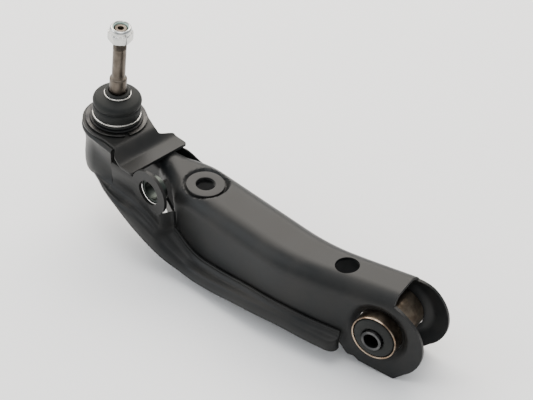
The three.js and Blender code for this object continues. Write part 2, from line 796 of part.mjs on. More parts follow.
function ballStud() {
  const shoulder = THREE.MathUtils.radToDeg(Math.acos(STUD_NECK / BALL_RADIUS));
  return turned(
    [
      ...arcPoints(0, -BALL_DEPTH, BALL_RADIUS, -90, shoulder, 9).map(([r, z], i) => [i ? r : 0, z]),
      [STUD_NECK, 20],
      [STUD_COLLAR, 23],
      [STUD_COLLAR, STUD_STEP - 0.8],
      [STUD_COLLAR - 0.8, STUD_STEP],
      [STUD_SHANK, STUD_STEP + 0.6],
      [STUD_SHANK, STUD_TOP - 0.9],
      [STUD_SHANK - 0.9, STUD_TOP],
      [STUD_SOCKET, STUD_TOP],
      [STUD_SOCKET - 0.4, STUD_TOP - 4],
      [0, STUD_TOP - 4.6],
    ],
    28,
  );
}

function dustBoot() {
  const bead = COLLAR_RADIUS + GAP;
  return turned(
    [
      [bead, 3.8],
      [BOOT_RADIUS, 3.8],
      [BOOT_RADIUS + 0.2, 5.4],
      [BOOT_RADIUS - 1.3, BOOT_CLIP_AT - 0.8],
      [BOOT_RADIUS - 1.3, BOOT_CLIP_AT + 0.8],
      [BOOT_RADIUS - 0.4, BOOT_CLIP_AT + 1.8],
      [BOOT_RADIUS - 0.2, 16.4],
      [BOOT_RADIUS - 1.4, 18],
      [BOOT_RADIUS - 0.1, 19.8],
      [BOOT_RADIUS, 21.6],
      [BOOT_RADIUS - 1.6, 23.8],
      [NECK_CLIP_RADIUS + 1.6, 26.2],
      [NECK_CLIP_RADIUS - 1, NECK_CLIP_AT - 0.7],
      [NECK_CLIP_RADIUS - 1, NECK_CLIP_AT + 0.8],
      [NECK_CLIP_RADIUS - 0.2, BOOT_TOP - 0.8],
      [NECK_CLIP_RADIUS - 1.4, BOOT_TOP],
      [STUD_COLLAR + GAP, BOOT_TOP],
      [STUD_COLLAR + GAP, 25],
      [NECK_CLIP_RADIUS, 23.4],
      [BOOT_RADIUS - BOOT_WALL, 20.4],
      [BOOT_RADIUS - BOOT_WALL - 1, 18],
      [BOOT_RADIUS - BOOT_WALL - 0.2, 12],
      [bead, COLLAR_TOP + GAP],
    ],
    32,
  );
}

function wireRing(radius, height) {
  return new THREE.TorusGeometry(radius, CLIP_WIRE, 6, 32).translate(0, 0, height);
}

const NUT_BORE = STUD_SHANK + GAP;
const NUT_TOP = NUT_BASE + NUT_HEIGHT;
const POCKET_FLOOR = NUT_BASE + NUT_HEX_HEIGHT + 0.8;
const INSERT_RADIUS = NUT_BORE + INSERT_WALL;

function studNut() {
  const corner = NUT_FLATS / Math.sqrt(3);
  const hexagon = new THREE.Shape(
    spread(0, 5, 5).map((i) => {
      const point = new THREE.Vector2(corner, 0);
      return point.rotateAround(new THREE.Vector2(), (i * Math.PI) / 3);
    }),
  );
  const prism = new THREE.ExtrudeGeometry(hexagon, { depth: NUT_HEX_HEIGHT, bevelEnabled: false });
  prism.rotateZ(THREE.MathUtils.degToRad(31)).translate(0, 0, NUT_BASE);
  const collar = turned(
    [
      [0, NUT_BASE + 1],
      [NUT_COLLAR, NUT_BASE + 1],
      [NUT_COLLAR, NUT_TOP - 1.6],
      [NUT_COLLAR - 1.2, NUT_TOP],
      [0, NUT_TOP],
    ],
    28,
  );
  const bore = bar(NUT_BORE, NUT_BASE - 1, NUT_TOP + 1, 28);
  const pocket = bar(INSERT_RADIUS + GAP, POCKET_FLOOR, NUT_TOP - 0.5, 28);
  const mouth = bar(INSERT_RADIUS - 0.4, POCKET_FLOOR, NUT_TOP + 1, 28);
  return geometryOf(
    solid(prism).add(solid(collar)).subtract(solid(bore)).subtract(solid(pocket)).subtract(solid(mouth)),
  );
}

function nutInsert() {
  const floor = POCKET_FLOOR + GAP;
  const top = NUT_TOP - 0.5 - GAP;
  return turned([[NUT_BORE, floor], [INSERT_RADIUS, floor], [INSERT_RADIUS, top], [NUT_BORE, top]], 28);
}

// ---- pivot bush, each piece along its own Z axis ----

const SLEEVE_HALF = EAR_SPREAD / 2 + SLEEVE_OVERHANG;

function bushOuterSleeve() {
  const bore = SLEEVE_RADIUS - SLEEVE_WALL;
  return turned(
    [[bore, -SLEEVE_HALF], [SLEEVE_RADIUS - 0.8, -SLEEVE_HALF], [SLEEVE_RADIUS, 0.8 - SLEEVE_HALF],
      [SLEEVE_RADIUS, SLEEVE_HALF - 0.8], [SLEEVE_RADIUS - 0.8, SLEEVE_HALF], [bore, SLEEVE_HALF]],
    44,
  );
}

function bushRubber() {
  const outer = SLEEVE_RADIUS - SLEEVE_WALL - GAP;
  const inner = CORE_RADIUS + GAP;
  const edge = SLEEVE_HALF - RUBBER_INSET;
  return turned(
    [[inner, -edge - 3.4], [inner + 1, -edge - 4.2], [inner + 3.4, -edge - 3.2], [outer - 1.6, -edge - 1.6],
      [outer, -edge + 1], [outer, edge - 1], [outer - 1.6, edge + 1.6], [inner + 3.4, edge + 3.2],
      [inner + 1, edge + 4.2], [inner, edge + 3.4]],
    36,
  );
}

function bushInnerSleeve() {
  const end = SLEEVE_HALF + CORE_OVERHANG;
  return turned(
    [[CORE_BORE, 0.6 - end], [CORE_BORE + 0.6, -end], [CORE_RADIUS - 0.6, -end], [CORE_RADIUS, 0.6 - end],
      [CORE_RADIUS, end - 0.6], [CORE_RADIUS - 0.6, end], [CORE_BORE + 0.6, end], [CORE_BORE, end - 0.6]],
    36,
  );
}

// ---- the assembly ----

const blackCoat = () => paint(0x2b2c2e, 0.42, 0.2);
const brownSteel = () => paint(0x6f6357, 0.45, 0.9);
const zinc = () => paint(0xb9bdc0, 0.3, 1);
const rubber = () => paint(0x2f3030, 0.8, 0);
const plastic = () => paint(0xd8d4c4, 0.5, 0);

function piece(name, geometry, material) {
  const mesh = new THREE.Mesh(geometry, material);
  mesh.name = name;
  return mesh;
}

const seat = new THREE.Group();
seat.applyMatrix4(seatMatrix);
seat.add(piece("link_seat", linkSeat(), paint(0x55565a, 0.5, 0.6)));

const ballJoint = new THREE.Group();
ballJoint.applyMatrix4(headMatrix);
ballJoint.add(
  piece("ball_housing", ballHousing(), paint(0x1f2022, 0.5, 0.5)),
  piece("housing_ring", housingRing(), paint(0x4a4b4e, 0.35, 0.9)),
  piece("race_upper", upperRace(), plastic()),
  piece("race_lower", lowerRace(), plastic()),
  piece("preload_spring", preloadSpring(), paint(0x6b6b68, 0.35, 1)),
  piece("housing_cover", housingCover(), paint(0x3a3b3d, 0.45, 0.8)),
  piece("ball_stud", ballStud(), brownSteel()),
  piece("dust_boot", dustBoot(), rubber()),
  piece("boot_lower_clip", wireRing(BOOT_RADIUS - 0.2, BOOT_CLIP_AT), zinc()),
  piece("boot_neck_clip", wireRing(NECK_CLIP_RADIUS, NECK_CLIP_AT), zinc()),
  piece("stud_nut", studNut(), zinc()),
  piece("nut_insert", nutInsert(), paint(0x9fb7ae, 0.5, 0)),
);

const bush = new THREE.Group();
bush.rotation.x = Math.PI / 2;
bush.add(
  piece("bush_outer_sleeve", bushOuterSleeve(), paint(0x8a7765, 0.4, 0.9)),
  piece("bush_rubber", bushRubber(), rubber()),
  piece("bush_inner_sleeve", bushInnerSleeve(), paint(0x6c6e70, 0.4, 0.9)),
);

const arm = new THREE.Group();
arm.add(
  piece("arm_channel", armChannel(), blackCoat()),
  piece("outer_pressing", outerPressing(), blackCoat()),
  piece("head_plate", headPlate(), blackCoat()),
  piece("rod_boss", rodBoss(), paint(0x7b6a5a, 0.4, 0.9)),
  seat,
  ballJoint,
  bush,
);

// The origin is the middle of the assembly's box, at its lowest height.
const box = new THREE.Box3().setFromObject(arm, true);
const middle = box.getCenter(new THREE.Vector3());
arm.position.set(-middle.x, -middle.y, -box.min.z);

export default arm;
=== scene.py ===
"""A pressed-steel control arm: two pressings, a ball joint with its boot, and a pivot bush."""
import json

import bmesh
import bpy
import numpy as np
from mathutils import Matrix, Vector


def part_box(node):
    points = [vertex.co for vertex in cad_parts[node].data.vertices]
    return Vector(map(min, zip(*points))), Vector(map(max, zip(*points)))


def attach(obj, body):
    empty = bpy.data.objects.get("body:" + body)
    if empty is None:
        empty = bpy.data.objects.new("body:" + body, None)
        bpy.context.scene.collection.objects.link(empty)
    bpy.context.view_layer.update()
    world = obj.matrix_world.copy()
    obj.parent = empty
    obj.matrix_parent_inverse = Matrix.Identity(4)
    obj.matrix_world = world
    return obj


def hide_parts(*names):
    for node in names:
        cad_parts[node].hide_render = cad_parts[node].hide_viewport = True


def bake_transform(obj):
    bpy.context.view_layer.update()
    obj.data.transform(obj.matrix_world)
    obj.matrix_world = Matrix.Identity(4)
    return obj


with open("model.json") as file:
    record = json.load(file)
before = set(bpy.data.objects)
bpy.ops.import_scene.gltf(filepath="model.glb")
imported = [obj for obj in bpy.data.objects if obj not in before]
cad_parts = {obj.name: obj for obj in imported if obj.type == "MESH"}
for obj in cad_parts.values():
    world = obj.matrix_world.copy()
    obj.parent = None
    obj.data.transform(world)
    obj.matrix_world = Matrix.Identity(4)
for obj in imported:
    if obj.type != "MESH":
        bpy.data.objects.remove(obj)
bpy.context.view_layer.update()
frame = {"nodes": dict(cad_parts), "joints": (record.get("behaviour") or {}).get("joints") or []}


# ---- Camera ----
# A long lens, high on the near side and a little towards the ball joint. It looks at a point on
# the far side of the arm, so that the arm runs from the upper left to the lower right.

def turn_about(axis, angle):
    """The matrix that turns by an angle about one of the axes 0, 1 or 2, by the right-hand rule."""
    c, s = np.cos(angle), np.sin(angle)
    i, j = (axis + 1) % 3, (axis + 2) % 3
    matrix = np.eye(3)
    matrix[i, i], matrix[i, j], matrix[j, i], matrix[j, j] = c, -s, s, c
    return matrix


bush_box = np.array(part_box("bush_inner_sleeve"))
bush_centre = bush_box.mean(axis=0)
camera_azimuth, camera_elevation, camera_roll = np.radians([31.0, 38.17, -0.72])
camera_distance = 2.906
camera_target = bush_centre + np.array([-0.1643, 0.0827, -0.002])
camera_turn = (
    turn_about(2, camera_azimuth)
    @ turn_about(0, np.pi / 2 - camera_elevation)
    @ turn_about(2, camera_roll)
)
camera_data = bpy.data.cameras.new("camera")
camera_data.sensor_width = 36.0
camera_data.lens = 236.4
camera_data.clip_end = 50.0
camera = bpy.data.objects.new("camera", camera_data)
bpy.context.scene.collection.objects.link(camera)
camera_matrix = np.eye(4)
camera_matrix[:3, :3] = camera_turn
camera_matrix[:3, 3] = camera_target + camera_turn @ np.array([0, 0, camera_distance])
camera.matrix_world = Matrix(camera_matrix.tolist())
bpy.context.scene.camera = camera


# ---- Studio ----
# A pale floor, a tall soft panel behind the arm that the upward faces mirror, a weaker one over
# the camera, and a pale room around them all.

def new_material(name):
    """A material with nodes, its node tree and its principled shader."""
    material = bpy.data.materials.new(name)
    material.use_nodes = True
    return material, material.node_tree, material.node_tree.nodes["Principled BSDF"]


def link_mesh(name, vertices, faces, material=None, smooth_angle=40):
    """A mesh object at the origin, smooth except where faces meet at more than an angle in degrees."""
    mesh = bpy.data.meshes.new(name)
    mesh.from_pydata(np.asarray(vertices).reshape(-1, 3).tolist(), [], faces)
    mesh.shade_smooth()
    mesh.set_sharp_from_angle(angle=np.radians(smooth_angle))
    if material:
        mesh.materials.append(material)
    piece = bpy.data.objects.new(name, mesh)
    bpy.context.scene.collection.objects.link(piece)
    return piece


floor_material, _, floor_shader = new_material("pale_floor")
floor_shader.inputs["Base Color"].default_value = (0.95, 0.95, 0.95, 1)
floor_shader.inputs["Roughness"].default_value = 0.9
floor_shader.inputs["Specular IOR Level"].default_value = 0.1
floor_reach = 6.0
floor = link_mesh(
    "floor",
    [[-floor_reach, -floor_reach, 0], [floor_reach, -floor_reach, 0],
     [floor_reach, floor_reach, 0], [-floor_reach, floor_reach, 0]],
    [[0, 1, 2, 3]],
    floor_material,
)


def soft_panel(name, azimuth, elevation, distance, width, height, watts, colour=(1, 1, 1)):
    """A rectangular light that faces the arm from an azimuth and elevation in degrees."""
    turn = turn_about(2, np.radians(azimuth)) @ turn_about(0, np.pi / 2 - np.radians(elevation))
    data = bpy.data.lights.new(name, "AREA")
    data.shape = "RECTANGLE"
    data.size, data.size_y = width, height
    data.energy = watts
    data.color = colour
    light = bpy.data.objects.new(name, data)
    bpy.context.scene.collection.objects.link(light)
    matrix = np.eye(4)
    matrix[:3, :3] = turn
    matrix[:3, 3] = turn @ np.array([0, 0, distance])
    light.matrix_world = Matrix(matrix.tolist())
    return light


soft_panel("back_panel", 211, 44, 2.6, 4.2, 2.0, 150, (1, 0.94, 0.86))
soft_panel("left_panel", -60, 30, 2.6, 1.6, 2.0, 26, (0.93, 0.97, 1))
soft_panel("top_panel", 31, 84, 3.0, 2.0, 2.0, 40)
world = bpy.data.worlds.new("pale_room")
bpy.context.scene.world = world
world.use_nodes = True
world.node_tree.nodes["Background"].inputs["Color"].default_value = (0.94, 0.97, 1, 1)
world.node_tree.nodes["Background"].inputs["Strength"].default_value = 0.75


# ---- Upper channel ----
# The main pressing, 2.6 mm steel sheet in a black dipped coat: an upside-down U that bends once,
# ends in two round ears for the bush, and has a round hole and a dimple in its top face.

mm = 0.001
sheet = 2.6
bend_start, bend_radius, bend_angle = 46.0, 200.0, np.radians(17)
bend_end = bend_start + bend_radius * bend_angle
head_at = bend_end + 193.5
head_offset = 10.0


def on_arm(distance, offset, height):
    """Places on the arm, in metres. The centreline is a line, an arc and a line, seen from above;
    distance runs along it from the bush axis, offset towards the near side, all in millimetres."""
    distance, offset, height = np.broadcast_arrays(distance, offset, height)
    angle = np.clip((distance - bend_start) / bend_radius, 0, bend_angle)
    before = np.minimum(distance, bend_start)
    after = np.maximum(distance - bend_end, 0)
    x = -before - bend_radius * np.sin(angle) - after * np.cos(angle) - offset * np.sin(angle)
    y = bend_radius * (1 - np.cos(angle)) + after * np.sin(angle) - offset * np.cos(angle)
    return np.stack([x, y, height], axis=-1) * mm + bush_centre


def ease(t, low, high):
    """Rises smoothly from 0 at low to 1 at high."""
    t = np.clip((np.asarray(t, float) - low) / (high - low), 0, 1)
    return t * t * (3 - 2 * t)


def curve_through(knots, t):
    """A smooth curve through knots (t, value): between two knots a cubic whose slopes are the
    slopes of the lines that join each knot's neighbours. It is level beyond the ends."""
    at, value = np.array(knots, float).T
    slope = np.gradient(value, at)
    t = np.clip(np.asarray(t, float), at[0], at[-1])
    i = np.clip(np.searchsorted(at, t, side="right") - 1, 0, len(at) - 2)
    span = at[i + 1] - at[i]
    u = (t - at[i]) / span
    return (
        (2 * u**3 - 3 * u**2 + 1) * value[i]
        + (u**3 - 2 * u**2 + u) * span * slope[i]
        + (-2 * u**3 + 3 * u**2) * value[i + 1]
        + (u**3 - u**2) * span * slope[i + 1]
    )


def loop_faces(rows, columns, ends_closed=False, wrap_rows=False):
    """Quads of a grid of closed loops: each joins two neighbouring points of one loop to the same two
    of the next. The two ends can be closed by one face each, or the last loop joined to the first."""
    row = np.arange(rows if wrap_rows else rows - 1)[:, None]
    column = np.arange(columns)[None, :]
    after_row, after_column = (row + 1) % rows, (column + 1) % columns
    corners = [row * columns + column, row * columns + after_column,
               after_row * columns + after_column, after_row * columns + column]
    quads = np.stack(np.broadcast_arrays(*corners), axis=-1).reshape(-1, 4).tolist()
    if ends_closed:
        quads.append(list(range(columns))[::-1])
        quads.append(list(range((rows - 1) * columns, rows * columns)))
    return quads


def strip_between(outer, inner):
    """One closed loop per row: out along the outer line and back along the inner one."""
    return np.concatenate([outer, inner[:, ::-1]], axis=1)


def lofted(name, loops, material):
    """A closed solid through loops (rows, points, 3): quads join each loop to the next, and each end
    is closed by quads that join the loop's first half to its second, point by point."""
    rows, columns = loops.shape[:2]
    rib = np.arange(columns // 2 - 1)
    end = np.stack([rib, rib + 1, columns - 2 - rib, columns - 1 - rib], axis=-1)
    faces = loop_faces(rows, columns) + end[:, ::-1].tolist() + (end + (rows - 1) * columns).tolist()
    return faced_out(link_mesh(name, loops, faces, material))


def faced_out(piece):
    """The piece with its faces turned outwards: all are reversed if its signed volume is negative."""
    shape = bmesh.new()
    shape.from_mesh(piece.data)
    if shape.calc_volume(signed=True) < 0:
        bmesh.ops.reverse_faces(shape, faces=shape.faces)
        shape.to_mesh(piece.data)
    shape.free()
    return piece


def combined(piece, tool, operation):
    """The piece with a second solid cut from it or joined to it; the second one is used up."""
    boolean = piece.modifiers.new("boolean", "BOOLEAN")
    boolean.operation = operation
    boolean.object = tool
    boolean.solver = "EXACT"
    boolean.use_self = operation == "UNION"
    shape = piece.evaluated_get(bpy.context.evaluated_depsgraph_get())
    mesh = bpy.data.meshes.new_from_object(shape)
    piece.modifiers.remove(boolean)
    piece.data = mesh
    bpy.data.objects.remove(tool)
    mesh.shade_smooth()
    mesh.set_sharp_from_angle(angle=np.radians(33))
    return piece


def prism(outline, low, high, place):
    """A closed prism: an outline (n, 2) between two depths, put in place by a function of points."""
    count = len(outline)
    bottom = np.column_stack([outline, np.full(count, low)])
    top = np.column_stack([outline, np.full(count, high)])
    points = place(np.concatenate([bottom, top]))
    return faced_out(link_mesh("tool", points, loop_faces(2, count, ends_closed=True)))


def circle(radius, count=64, centre=(0, 0)):
    """Points round a circle: its centre plus the radius times the cosine and sine of even angles."""
    angle = np.linspace(0, 2 * np.pi, count, endpoint=False)
    return np.column_stack([centre[0] + radius * np.cos(angle), centre[1] + radius * np.sin(angle)])


def noise_nodes(tree, scale, detail, roughness=0.55):
    """A noise texture on Object coordinates."""
    coordinates = tree.nodes.new("ShaderNodeTexCoord")
    noise = tree.nodes.new("ShaderNodeTexNoise")
    noise.inputs["Scale"].default_value = scale
    noise.inputs["Detail"].default_value = detail
    noise.inputs["Roughness"].default_value = roughness
    tree.links.new(coordinates.outputs["Object"], noise.inputs["Vector"])
    return noise


def mixed_colour(tree, factor, low, high, dark, light):
    """A colour that goes from dark to light as a factor goes from low to high."""
    ramp = tree.nodes.new("ShaderNodeValToRGB")
    ramp.color_ramp.elements[0].position = low
    ramp.color_ramp.elements[1].position = high
    ramp.color_ramp.elements[0].color = (*dark, 1)
    ramp.color_ramp.elements[1].color = (*light, 1)
    tree.links.new(factor, ramp.inputs["Fac"])
    return ramp.outputs["Color"]


def mapped(tree, value, low, high):
    """A value from 0 to 1 spread over another range."""
    spread = tree.nodes.new("ShaderNodeMapRange")
    spread.inputs["From Min"].default_value = 0.3
    spread.inputs["From Max"].default_value = 0.7
    spread.inputs["To Min"].default_value = low
    spread.inputs["To Max"].default_value = high
    tree.links.new(value, spread.inputs["Value"])
    return spread.outputs["Result"]


def bumped(tree, shader, height, distance, strength=0.3):
    """Fine relief from a height, in metres."""
    bump = tree.nodes.new("ShaderNodeBump")
    bump.inputs["Strength"].default_value = strength
    bump.inputs["Distance"].default_value = distance
    tree.links.new(height, bump.inputs["Height"])
    tree.links.new(bump.outputs["Normal"], shader.inputs["Normal"])


def dipped_coat(name, dark, light, low_rough, high_rough):
    """Black dipped coat: cloudy patches in its colour and gloss, and a faint peel."""
    material, tree, shader = new_material(name)
    clouds = noise_nodes(tree, 28, 4)
    peel = noise_nodes(tree, 900, 2)
    tree.links.new(
        mixed_colour(tree, clouds.outputs["Fac"], 0.35, 0.7, dark, light), shader.inputs["Base Color"]
    )
    tree.links.new(mapped(tree, clouds.outputs["Fac"], low_rough, high_rough), shader.inputs["Roughness"])
    bumped(tree, shader, peel.outputs["Fac"], 0.00006, 0.25)
    shader.inputs["Specular IOR Level"].default_value = 0.2
    return material


coat = dipped_coat("black_dip", (0.008, 0.009, 0.0095), (0.017, 0.0165, 0.0155), 0.34, 0.46)

channel_top, top_corner = 38.0, 15.0
ear_half, channel_half = 23.0, 25.5
ear_radius, ear_shift = 34.7, np.array([5.7, -3.4])
top_end, rail_end = 13.0, 33.0
sleeve_radius = 20.0
seat_at, seat_offset, seat_depth, seat_tilt = 197.5, 1.5, 1.3, np.radians(4)
seat_radius, seat_bore, seat_thickness, clearance = 16.0, 8.1, 2.4, 0.3
tab_length = 53.6
tab_edge_at = head_at - tab_length
channel_end = head_at - 26
ear_draw, far_foot_extra = 4.2, 26
pocket_corner, pocket_slope, pocket_depth = head_at - 89, 0.44, 16.0
waist_at = head_at - 29
lip_knots = [(20, -27), (50, -24.5), (80, -22.5), (120, -24.8), (156, -29), (182, -29), (203, -22),
             (226, -10), (243, -1.5), (256, 5.5), (268, 8.6), (285, 9.2), (300, 9.2)]
far_knots = [(head_at - 190, 25.5), (head_at - 110, 25.5), (head_at - 87, 24.9), (head_at - 58, 16.5),
             (waist_at, 6.6), (channel_end + 30, 6.6)]


def half_width(distance):
    """The channel's outer half width: the ears' at the bush, then a little more."""
    return ear_half + (channel_half - ear_half) * ease(distance, 25, 110)


def far_wall(distance):
    """The far wall narrows to a waist before the ball joint."""
    return np.where(distance < head_at - 110, half_width(distance), curve_through(far_knots, distance))


def near_wall(distance):
    """The near wall turns inwards at a soft corner, to leave room for the rod boss."""
    past = distance - pocket_corner
    soft = 0.5 * (past + np.sqrt(past**2 + 2.0))
    return half_width(distance) - np.minimum(soft * pocket_slope, pocket_depth)


def channel_foot(distance, extra):
    """Height of a wall's lower edge, with an extra depth beside the joint."""
    lapped = np.minimum(curve_through(lip_knots, distance) + 6, 0)
    lapped = lapped - extra * ease(distance, 190, 212) * (1 - ease(distance, 258, 272))
    at_ears = -50 + 12 * ease(distance, -50, 20)
    return at_ears + (lapped - at_ears) * ease(distance, 20, rail_end + 8)


def channel_line(distance, depth):
    """The section's line at a depth under its outer face, from the near foot over the top to the far
    foot: offsets and heights. Straight walls, a quarter circle, a level top and a quarter circle."""
    near, far = near_wall(distance)[:, None], far_wall(distance)[:, None]
    near_foot, far_foot = channel_foot(distance, 0)[:, None], channel_foot(distance, far_foot_extra)[:, None]
    corner = np.minimum(top_corner, (near + far) / 2 - 0.5)
    springing = channel_top - corner
    radius = np.maximum(corner - depth, 0.3)
    up = np.linspace(0, 1, 30)[None, :-1]
    sweep = np.linspace(0, np.pi / 2, 15)[None, :]
    across = np.linspace(0, 1, 22)[None, 1:-1]
    near_height = near_foot + (springing - near_foot) * up
    far_height = far_foot + (springing - far_foot) * up[:, ::-1]
    arc_out, arc_up = radius * np.cos(sweep), springing + radius * np.sin(sweep)
    level = near - corner + (corner - far - (near - corner)) * across
    near_face = near - corner + radius
    far_face = -far + corner - radius
    offset = np.concatenate([near_face + 0 * up, near - corner + arc_out, level,
                             -far + corner - arc_out[:, ::-1], far_face + 0 * up], axis=1)
    height = np.concatenate([near_height, arc_up, channel_top - depth + 0 * across + 0 * near,
                             arc_up[:, ::-1], far_height], axis=1)
    return offset, height


def seat_floor(points, depth):
    """Height of the dimple's floor under places in metres, in millimetres over the bush axis: a flat
    disc, inclined like the seat, with a wall that rises steeply out of the top face."""
    centre = on_arm(seat_at, seat_offset, channel_top - seat_depth)
    along = (points[..., 0] - centre[0]) / mm
    radius = np.hypot(along, (points[..., 1] - centre[1]) / mm)
    along = np.clip(along, -seat_radius - 6.5, seat_radius + 6.5)
    floor_height = channel_top - seat_depth - seat_thickness - clearance - depth - np.tan(seat_tilt) * along
    return floor_height + 7.5 * ease(radius, seat_radius + 0.8, seat_radius + 6.5)


def ear_funnel(points, drawn):
    """How far an ear's sheet is drawn inwards: all of it at the bush hole's edge, then easing to
    nothing with the distance from the hole's axis."""
    along, up = ((points - bush_centre) / mm)[..., [0, 2]].transpose(2, 0, 1)
    return drawn * (1 - ease(np.hypot(along, up), sleeve_radius, sleeve_radius + 8.5))


def channel_surface(depth):
    """The channel's face at a depth under its outer one, dimple and funnels included."""
    offset, height = channel_line(channel_stations, depth)
    points = on_arm(channel_stations[:, None], offset, height)
    is_top = height > 12
    floor_height = seat_floor(points, depth)
    lowered = 0.5 * (height + floor_height - np.sqrt((height - floor_height) ** 2 + 0.25))
    height = np.where(is_top & (floor_height < height + 3), np.minimum(height, lowered), height)
    at_ear = (channel_stations[:, None] < 34) & (np.abs(offset) > ear_half - 4)
    offset = offset - np.where(at_ear, np.sign(offset) * ear_funnel(points, ear_draw), 0)
    return on_arm(channel_stations[:, None], offset, height)


channel_stations = np.concatenate([
    np.linspace(-44, 40, 62), np.linspace(41.5, pocket_corner - 34, 66),
    np.linspace(pocket_corner - 33, channel_end, 74),
])
channel = lofted("channel", strip_between(channel_surface(0), channel_surface(sheet)), coat)


def across_bush(points):
    """From (x, z, depth along Y) in millimetres about the bush axis to places in metres."""
    return np.column_stack([points[:, 0], points[:, 2], points[:, 1]]) * mm + bush_centre


def from_above(distance, offset):
    """Puts (x, y, height) in millimetres at a place on the arm."""
    centre = on_arm(distance, offset, 0)
    return lambda points: points * mm + centre


def sideways(distance, offset, height):
    """Puts (along, up, out) in millimetres at a place on the arm: along runs to the bush end."""
    centre = on_arm(distance, offset, height)
    side = (on_arm(distance, offset + 1, height) - centre) / mm
    up = np.array([0.0, 0, 1])
    axes = np.stack([np.cross(up, side), up, side])
    return lambda points: points @ axes * mm + centre


ear_start = np.arccos((top_end - ear_shift[0]) / ear_radius)
ear_angles = np.linspace(ear_start, np.radians(-58), 60)
ear_arc = ear_shift + ear_radius * np.column_stack([np.cos(ear_angles), np.sin(ear_angles)])
beyond_ears = np.concatenate([
    [[top_end, 90]], ear_arc,
    [[ear_shift[0] + 8.5, ear_shift[1] - ear_radius - 3], [-17, ear_shift[1] - ear_radius + 2.5],
     [-21.5, ear_shift[1] - ear_radius + 6], [-rail_end, ear_shift[1] - ear_radius + 5.5],
     [-rail_end, -90], [90, -90], [90, 90]],
])
channel = combined(channel, prism(beyond_ears, -90, 90, across_bush), "DIFFERENCE")
bush_hole = prism(circle(sleeve_radius + clearance, 96), -90, 90, across_bush)
channel = combined(channel, bush_hole, "DIFFERENCE")
plain_hole = prism(circle(10.0, 72), 0, 90, from_above(40, 1))
channel = combined(channel, plain_hole, "DIFFERENCE")
seat_hole = prism(circle(seat_bore, 64), 0, 90, from_above(seat_at, seat_offset))
channel = combined(channel, seat_hole, "DIFFERENCE")
window_half = 14.5
window_arch = circle(window_half, 40, (0, 31 - window_half))
window_arch = window_arch[window_arch[:, 1] > 31 - window_half]
window = np.concatenate([[[-window_half, 10], [window_half, 10]], window_arch])
channel = combined(
    channel,
    prism(window, 0, 40, sideways(pocket_corner + window_half + 0.5, 2, 0)),
    "DIFFERENCE",
)
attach(channel, "arm")
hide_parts("arm_channel")


# ---- Outer pressing ----
# The second sheet, spot-welded outside the channel's feet: it wraps round the ball joint as a
# wall, stands up as the rod ear, and runs down both sides as a rail with a rolled flange.

head_radius, head_tuck, head_draft, rim_width = 29.0, 1.5, 0.6, 4.0
head_top, head_tilt = 52.7, np.radians(5)
ear_at, ear_drop, ear_disc, rod_hole = head_at - 72.8, 21.7, 20.0, 11.3
head_wall_end = ear_at - 12
jog_end = head_wall_end - 6.5
notch_at = head_at - 26
lap = clearance + sheet
tab_face = channel_top + clearance + sheet
under_tab = tab_face - sheet - clearance - 1
rod_height = head_top - ear_drop
drop_knots = [(186, 10), (226, 15), (243, 11), (254, 5.5), (266, 3), (285, 2.5)]
lip_offset_knots = [(20, 37), (60, 35), (84, 35), (106, 37.2), (134, 38.6), (165, 39.8), (186, 41),
                    (206, 46), (226, 49.3), (244, 50), (256, 50), (266, 48.6), (277, 45.5), (290, 40),
                    (head_at, head_offset + head_radius - head_tuck - head_draft)]


def ridge_height(distance):
    """Height of the flange's rounded ridge."""
    return curve_through(lip_knots, distance) + curve_through(drop_knots, distance)


def near_rail(distance):
    """Offset of the near wall's outer face: beside the channel, then out to the ear and the head."""
    rail = half_width(distance) + lap
    return rail + (head_offset + head_radius - rail) * ease(distance, jog_end, head_wall_end)


def far_rail(distance):
    """The same on the far side, where the wall follows the waist and goes round the joint."""
    waist = far_wall(np.array([waist_at]))[0] + lap
    around = [(waist_at, waist), (head_at - 14, 14.6), (head_at, head_radius - head_offset)]
    return np.where(distance < waist_at, far_wall(distance) + lap, curve_through(around, distance))


def near_top(distance):
    """Height of the near wall's top edge between the rail's end and the rim."""
    rail = ridge_height(distance) + 5.8
    wall = 16 + (under_tab - 16) * ease(distance, head_at - 76, head_at - 62)
    return np.where(distance < jog_end, rail, wall)


def far_top(distance):
    """The same on the far side, without an ear."""
    rail = ridge_height(distance) + 5.8
    middle = rail + (27 - rail) * ease(distance, tab_edge_at - 42, tab_edge_at - 20)
    return middle + (under_tab - 27) * ease(distance, tab_edge_at - 20, tab_edge_at)


def head_face(points):
    """Height of the head plate's inclined face over places in metres, in millimetres."""
    centre = on_arm(head_at, head_offset, 0)
    return head_top - np.tan(head_tilt) * (points[..., 0] - centre[0]) / mm


def smooth_line(points, steps):
    """A smooth line through points (rows, n, 2), with a number of steps between neighbours: cubics
    whose slope at a point is its two chords' slopes, each weighted by the other one's length."""
    chord = np.diff(points, axis=1)
    length = np.linalg.norm(chord, axis=-1, keepdims=True)
    slope = chord / length
    inner = (slope[:, :-1] * length[:, 1:] + slope[:, 1:] * length[:, :-1]) / (length[:, 1:] + length[:, :-1])
    slope = np.concatenate([slope[:, :1], inner, slope[:, -1:]], axis=1)
    u = np.linspace(0, 1, steps, endpoint=False)[None, None, :, None]
    p, q = points[:, :-1, None], points[:, 1:, None]
    m, n = (slope[:, :-1] * length)[:, :, None], (slope[:, 1:] * length)[:, :, None]
    line = (
        (2 * u**3 - 3 * u**2 + 1) * p + (u**3 - 2 * u**2 + u) * m
        + (-2 * u**3 + 3 * u**2) * q + (u**3 - u**2) * n
    )
    return np.concatenate([line.reshape(len(points), -1, 2), points[:, -1:]], axis=1)


def set_in(line, depth):
    """A line (rows, n, 2) moved inwards: each point goes a depth along the line's unit normal, which
    is its direction turned by a right angle."""
    along = np.gradient(line, axis=1)
    along /= np.linalg.norm(along, axis=-1, keepdims=True)
    return line + depth * np.stack([along[..., 1], -along[..., 0]], axis=-1)


